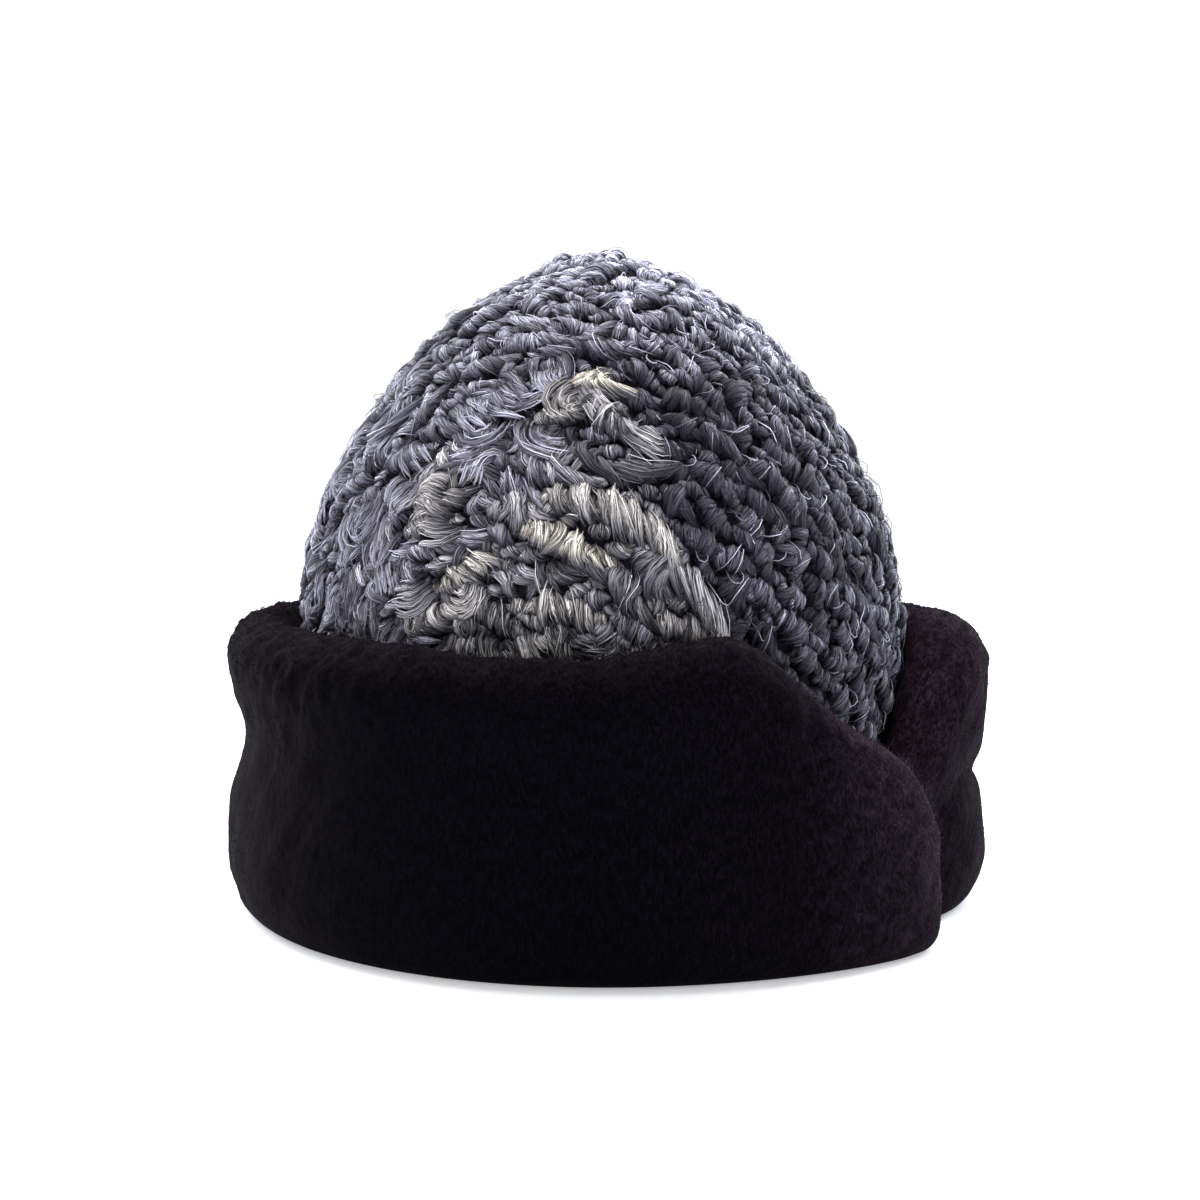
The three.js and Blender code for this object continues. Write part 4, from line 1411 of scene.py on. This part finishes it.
def cuff_skin(material):
    """The strip as one closed skin, with a fan over each end."""
    columns, turns = 420, 108
    azimuth = np.linspace(STRIP[0, 0], STRIP[-1, 0], columns)[:, None]
    turn = np.linspace(0, 1, turns, endpoint=False)[None, :]
    azimuth, turn = np.broadcast_arrays(azimuth, turn)
    points, normal = cuff_place(azimuth, turn, np.full(azimuth.shape, SKIN_LIFT))
    tint = cuff_tint(azimuth, points, normal)
    uv = np.stack([np.radians(azimuth) * CUFF_OUTER, turn * ROUND_STRIP], -1)
    flat = points.reshape(-1, 3)
    faces = ring_faces(columns, turns)
    faces = np.concatenate([faces[:, [0, 1, 2]], faces[:, [0, 2, 3]]])
    ring = np.arange(turns)
    far = (columns - 1) * turns
    middles = np.stack([points[0].mean(0), points[-1].mean(0)])
    start = np.stack([np.full(turns, len(flat)), (ring + 1) % turns, ring], -1)
    end = np.stack([np.full(turns, len(flat) + 1), ring + far, (ring + 1) % turns + far], -1)
    faces = np.concatenate([faces[:, ::-1], start[:, ::-1], end[:, ::-1]])
    flat = np.concatenate([flat, middles])
    tint = np.concatenate([tint.reshape(-1, 3), tint[[0, -1], 0]])
    uv = np.concatenate([uv.reshape(-1, 2), uv[[0, -1], 0]])
    return add_piece("fur_cuff", flat, faces, material, tint, uv)


cuff = cuff_skin(CUFF_FUR)

# %% [markdown]
# Short hair on the cuff
#
# Seen against the light, sheared fur has a soft edge of hair ends. A few hundred thousand would
# cover the strip evenly, but the nap in the skin does that already. So there are about twelve
# thousand: a thin scatter over the faces, and longer tufts along the crest, where the edge is seen.
# They stand on the skin and lean together in clumps, as the nap does.


# %% Cuff pile
PILE_ROOT = -0.9 * MM
LOWEST_TIP = 0.6 * MM
# Shade along each hair from root to tip; the tip's 1.8 is a painted sheen, like the lit edge of the fur.
PILE_SHADES_LIT_TIP = np.array([0.8, 0.9, 0.9, 0.9, 1.8])


def cuff_pile(name, count, azimuths, turns, length, clump, material):
    """Short hairs on a part of the strip, between two azimuths and two turns. They stand on the skin
    and lean with the nap and, in tufts of the size clump, together."""
    azimuth = rng.uniform(*azimuths, count)
    turn = rng.uniform(*turns, count)
    root, normal = cuff_place(azimuth, turn, np.full(count, PILE_ROOT))
    a = np.radians(azimuth)
    around = np.stack([np.cos(a), np.sin(a), 0 * a], -1)
    lean = around * (0.25 + 0.6 * soft_noise(root, 1.3 * clump, 31))[:, None]
    lean += unit(np.cross(normal, around)) * (0.4 + 0.6 * soft_noise(root, clump, 32))[:, None]
    lean += rng.normal(0, 0.35, (count, 3))
    tip = root + unit(normal + lean) * (length * rng.uniform(0.7, 1.15, count))[:, None]
    tip[:, 2] = np.maximum(tip[:, 2], LOWEST_TIP)
    width = (rng.uniform(0.16, 0.28, count) * MM)[:, None]
    paths = np.stack([root - 0.8 * MM * normal, root + 0.3 * (tip - root), tip], 1)
    points, faces = sweep(paths, around[:, None] * np.ones((1, 3, 1)), width, TRIANGLE)
    # The cuff's tint, with its painted light, and the painted sheen at each tip.
    shade = rng.uniform(0.8, 1.6, count)[:, None, None] * PILE_SHADES_LIT_TIP[:, None]
    tint = cuff_tint(azimuth, root, normal)[:, None] * shade
    uv = np.stack([a * CUFF_OUTER, turn * ROUND_STRIP], -1)[:, None] * np.ones((1, points.shape[1], 1))
    return add_piece(name, points, faces, material, tint, uv)


CUFF_ENDS = (STRIP[0, 0], STRIP[-1, 0])
SCATTER = ((0.12, 0.9), 1.9 * MM, 11 * MM, CUFF_FUR)
piles = [
    cuff_pile("cuff_pile_back", 1500, (90, 270), *SCATTER),
    cuff_pile("cuff_pile_front", 4000, (270, CUFF_ENDS[1]), *SCATTER),
    cuff_pile("cuff_pile_side", 1400, (CUFF_ENDS[0], 90), *SCATTER),
    cuff_pile("cuff_tufts", 5200, CUFF_ENDS, (0.42, 0.66), 2.8 * MM, 6 * MM, CUFF_FUR),
]

# %% [markdown]
# Joining the pieces to the frame
#
# The hat has no moving parts, so every piece rides on its one body, the root, and the solids of both
# crown halves and of the cuff are hidden.

# %% Join the pieces to the frame
for piece in (pale_hide, pale_cores, *pale_wool):
    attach(piece, "root")
for piece in (dark_hide, dark_cores, *dark_wool):
    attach(piece, "root")
for piece in (cuff, *piles):
    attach(piece, "root")
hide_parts("crown_pale_half")
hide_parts("crown_dark_half")
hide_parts("cuff")
print("pieces on the hat", 4 + len(pale_wool) + len(dark_wool) + 1 + len(piles))

# %% [markdown]
# Finish
#
# At the end the view layer is brought up to date, so that every piece stands where it was put.

# %% Finish
bpy.context.view_layer.update()
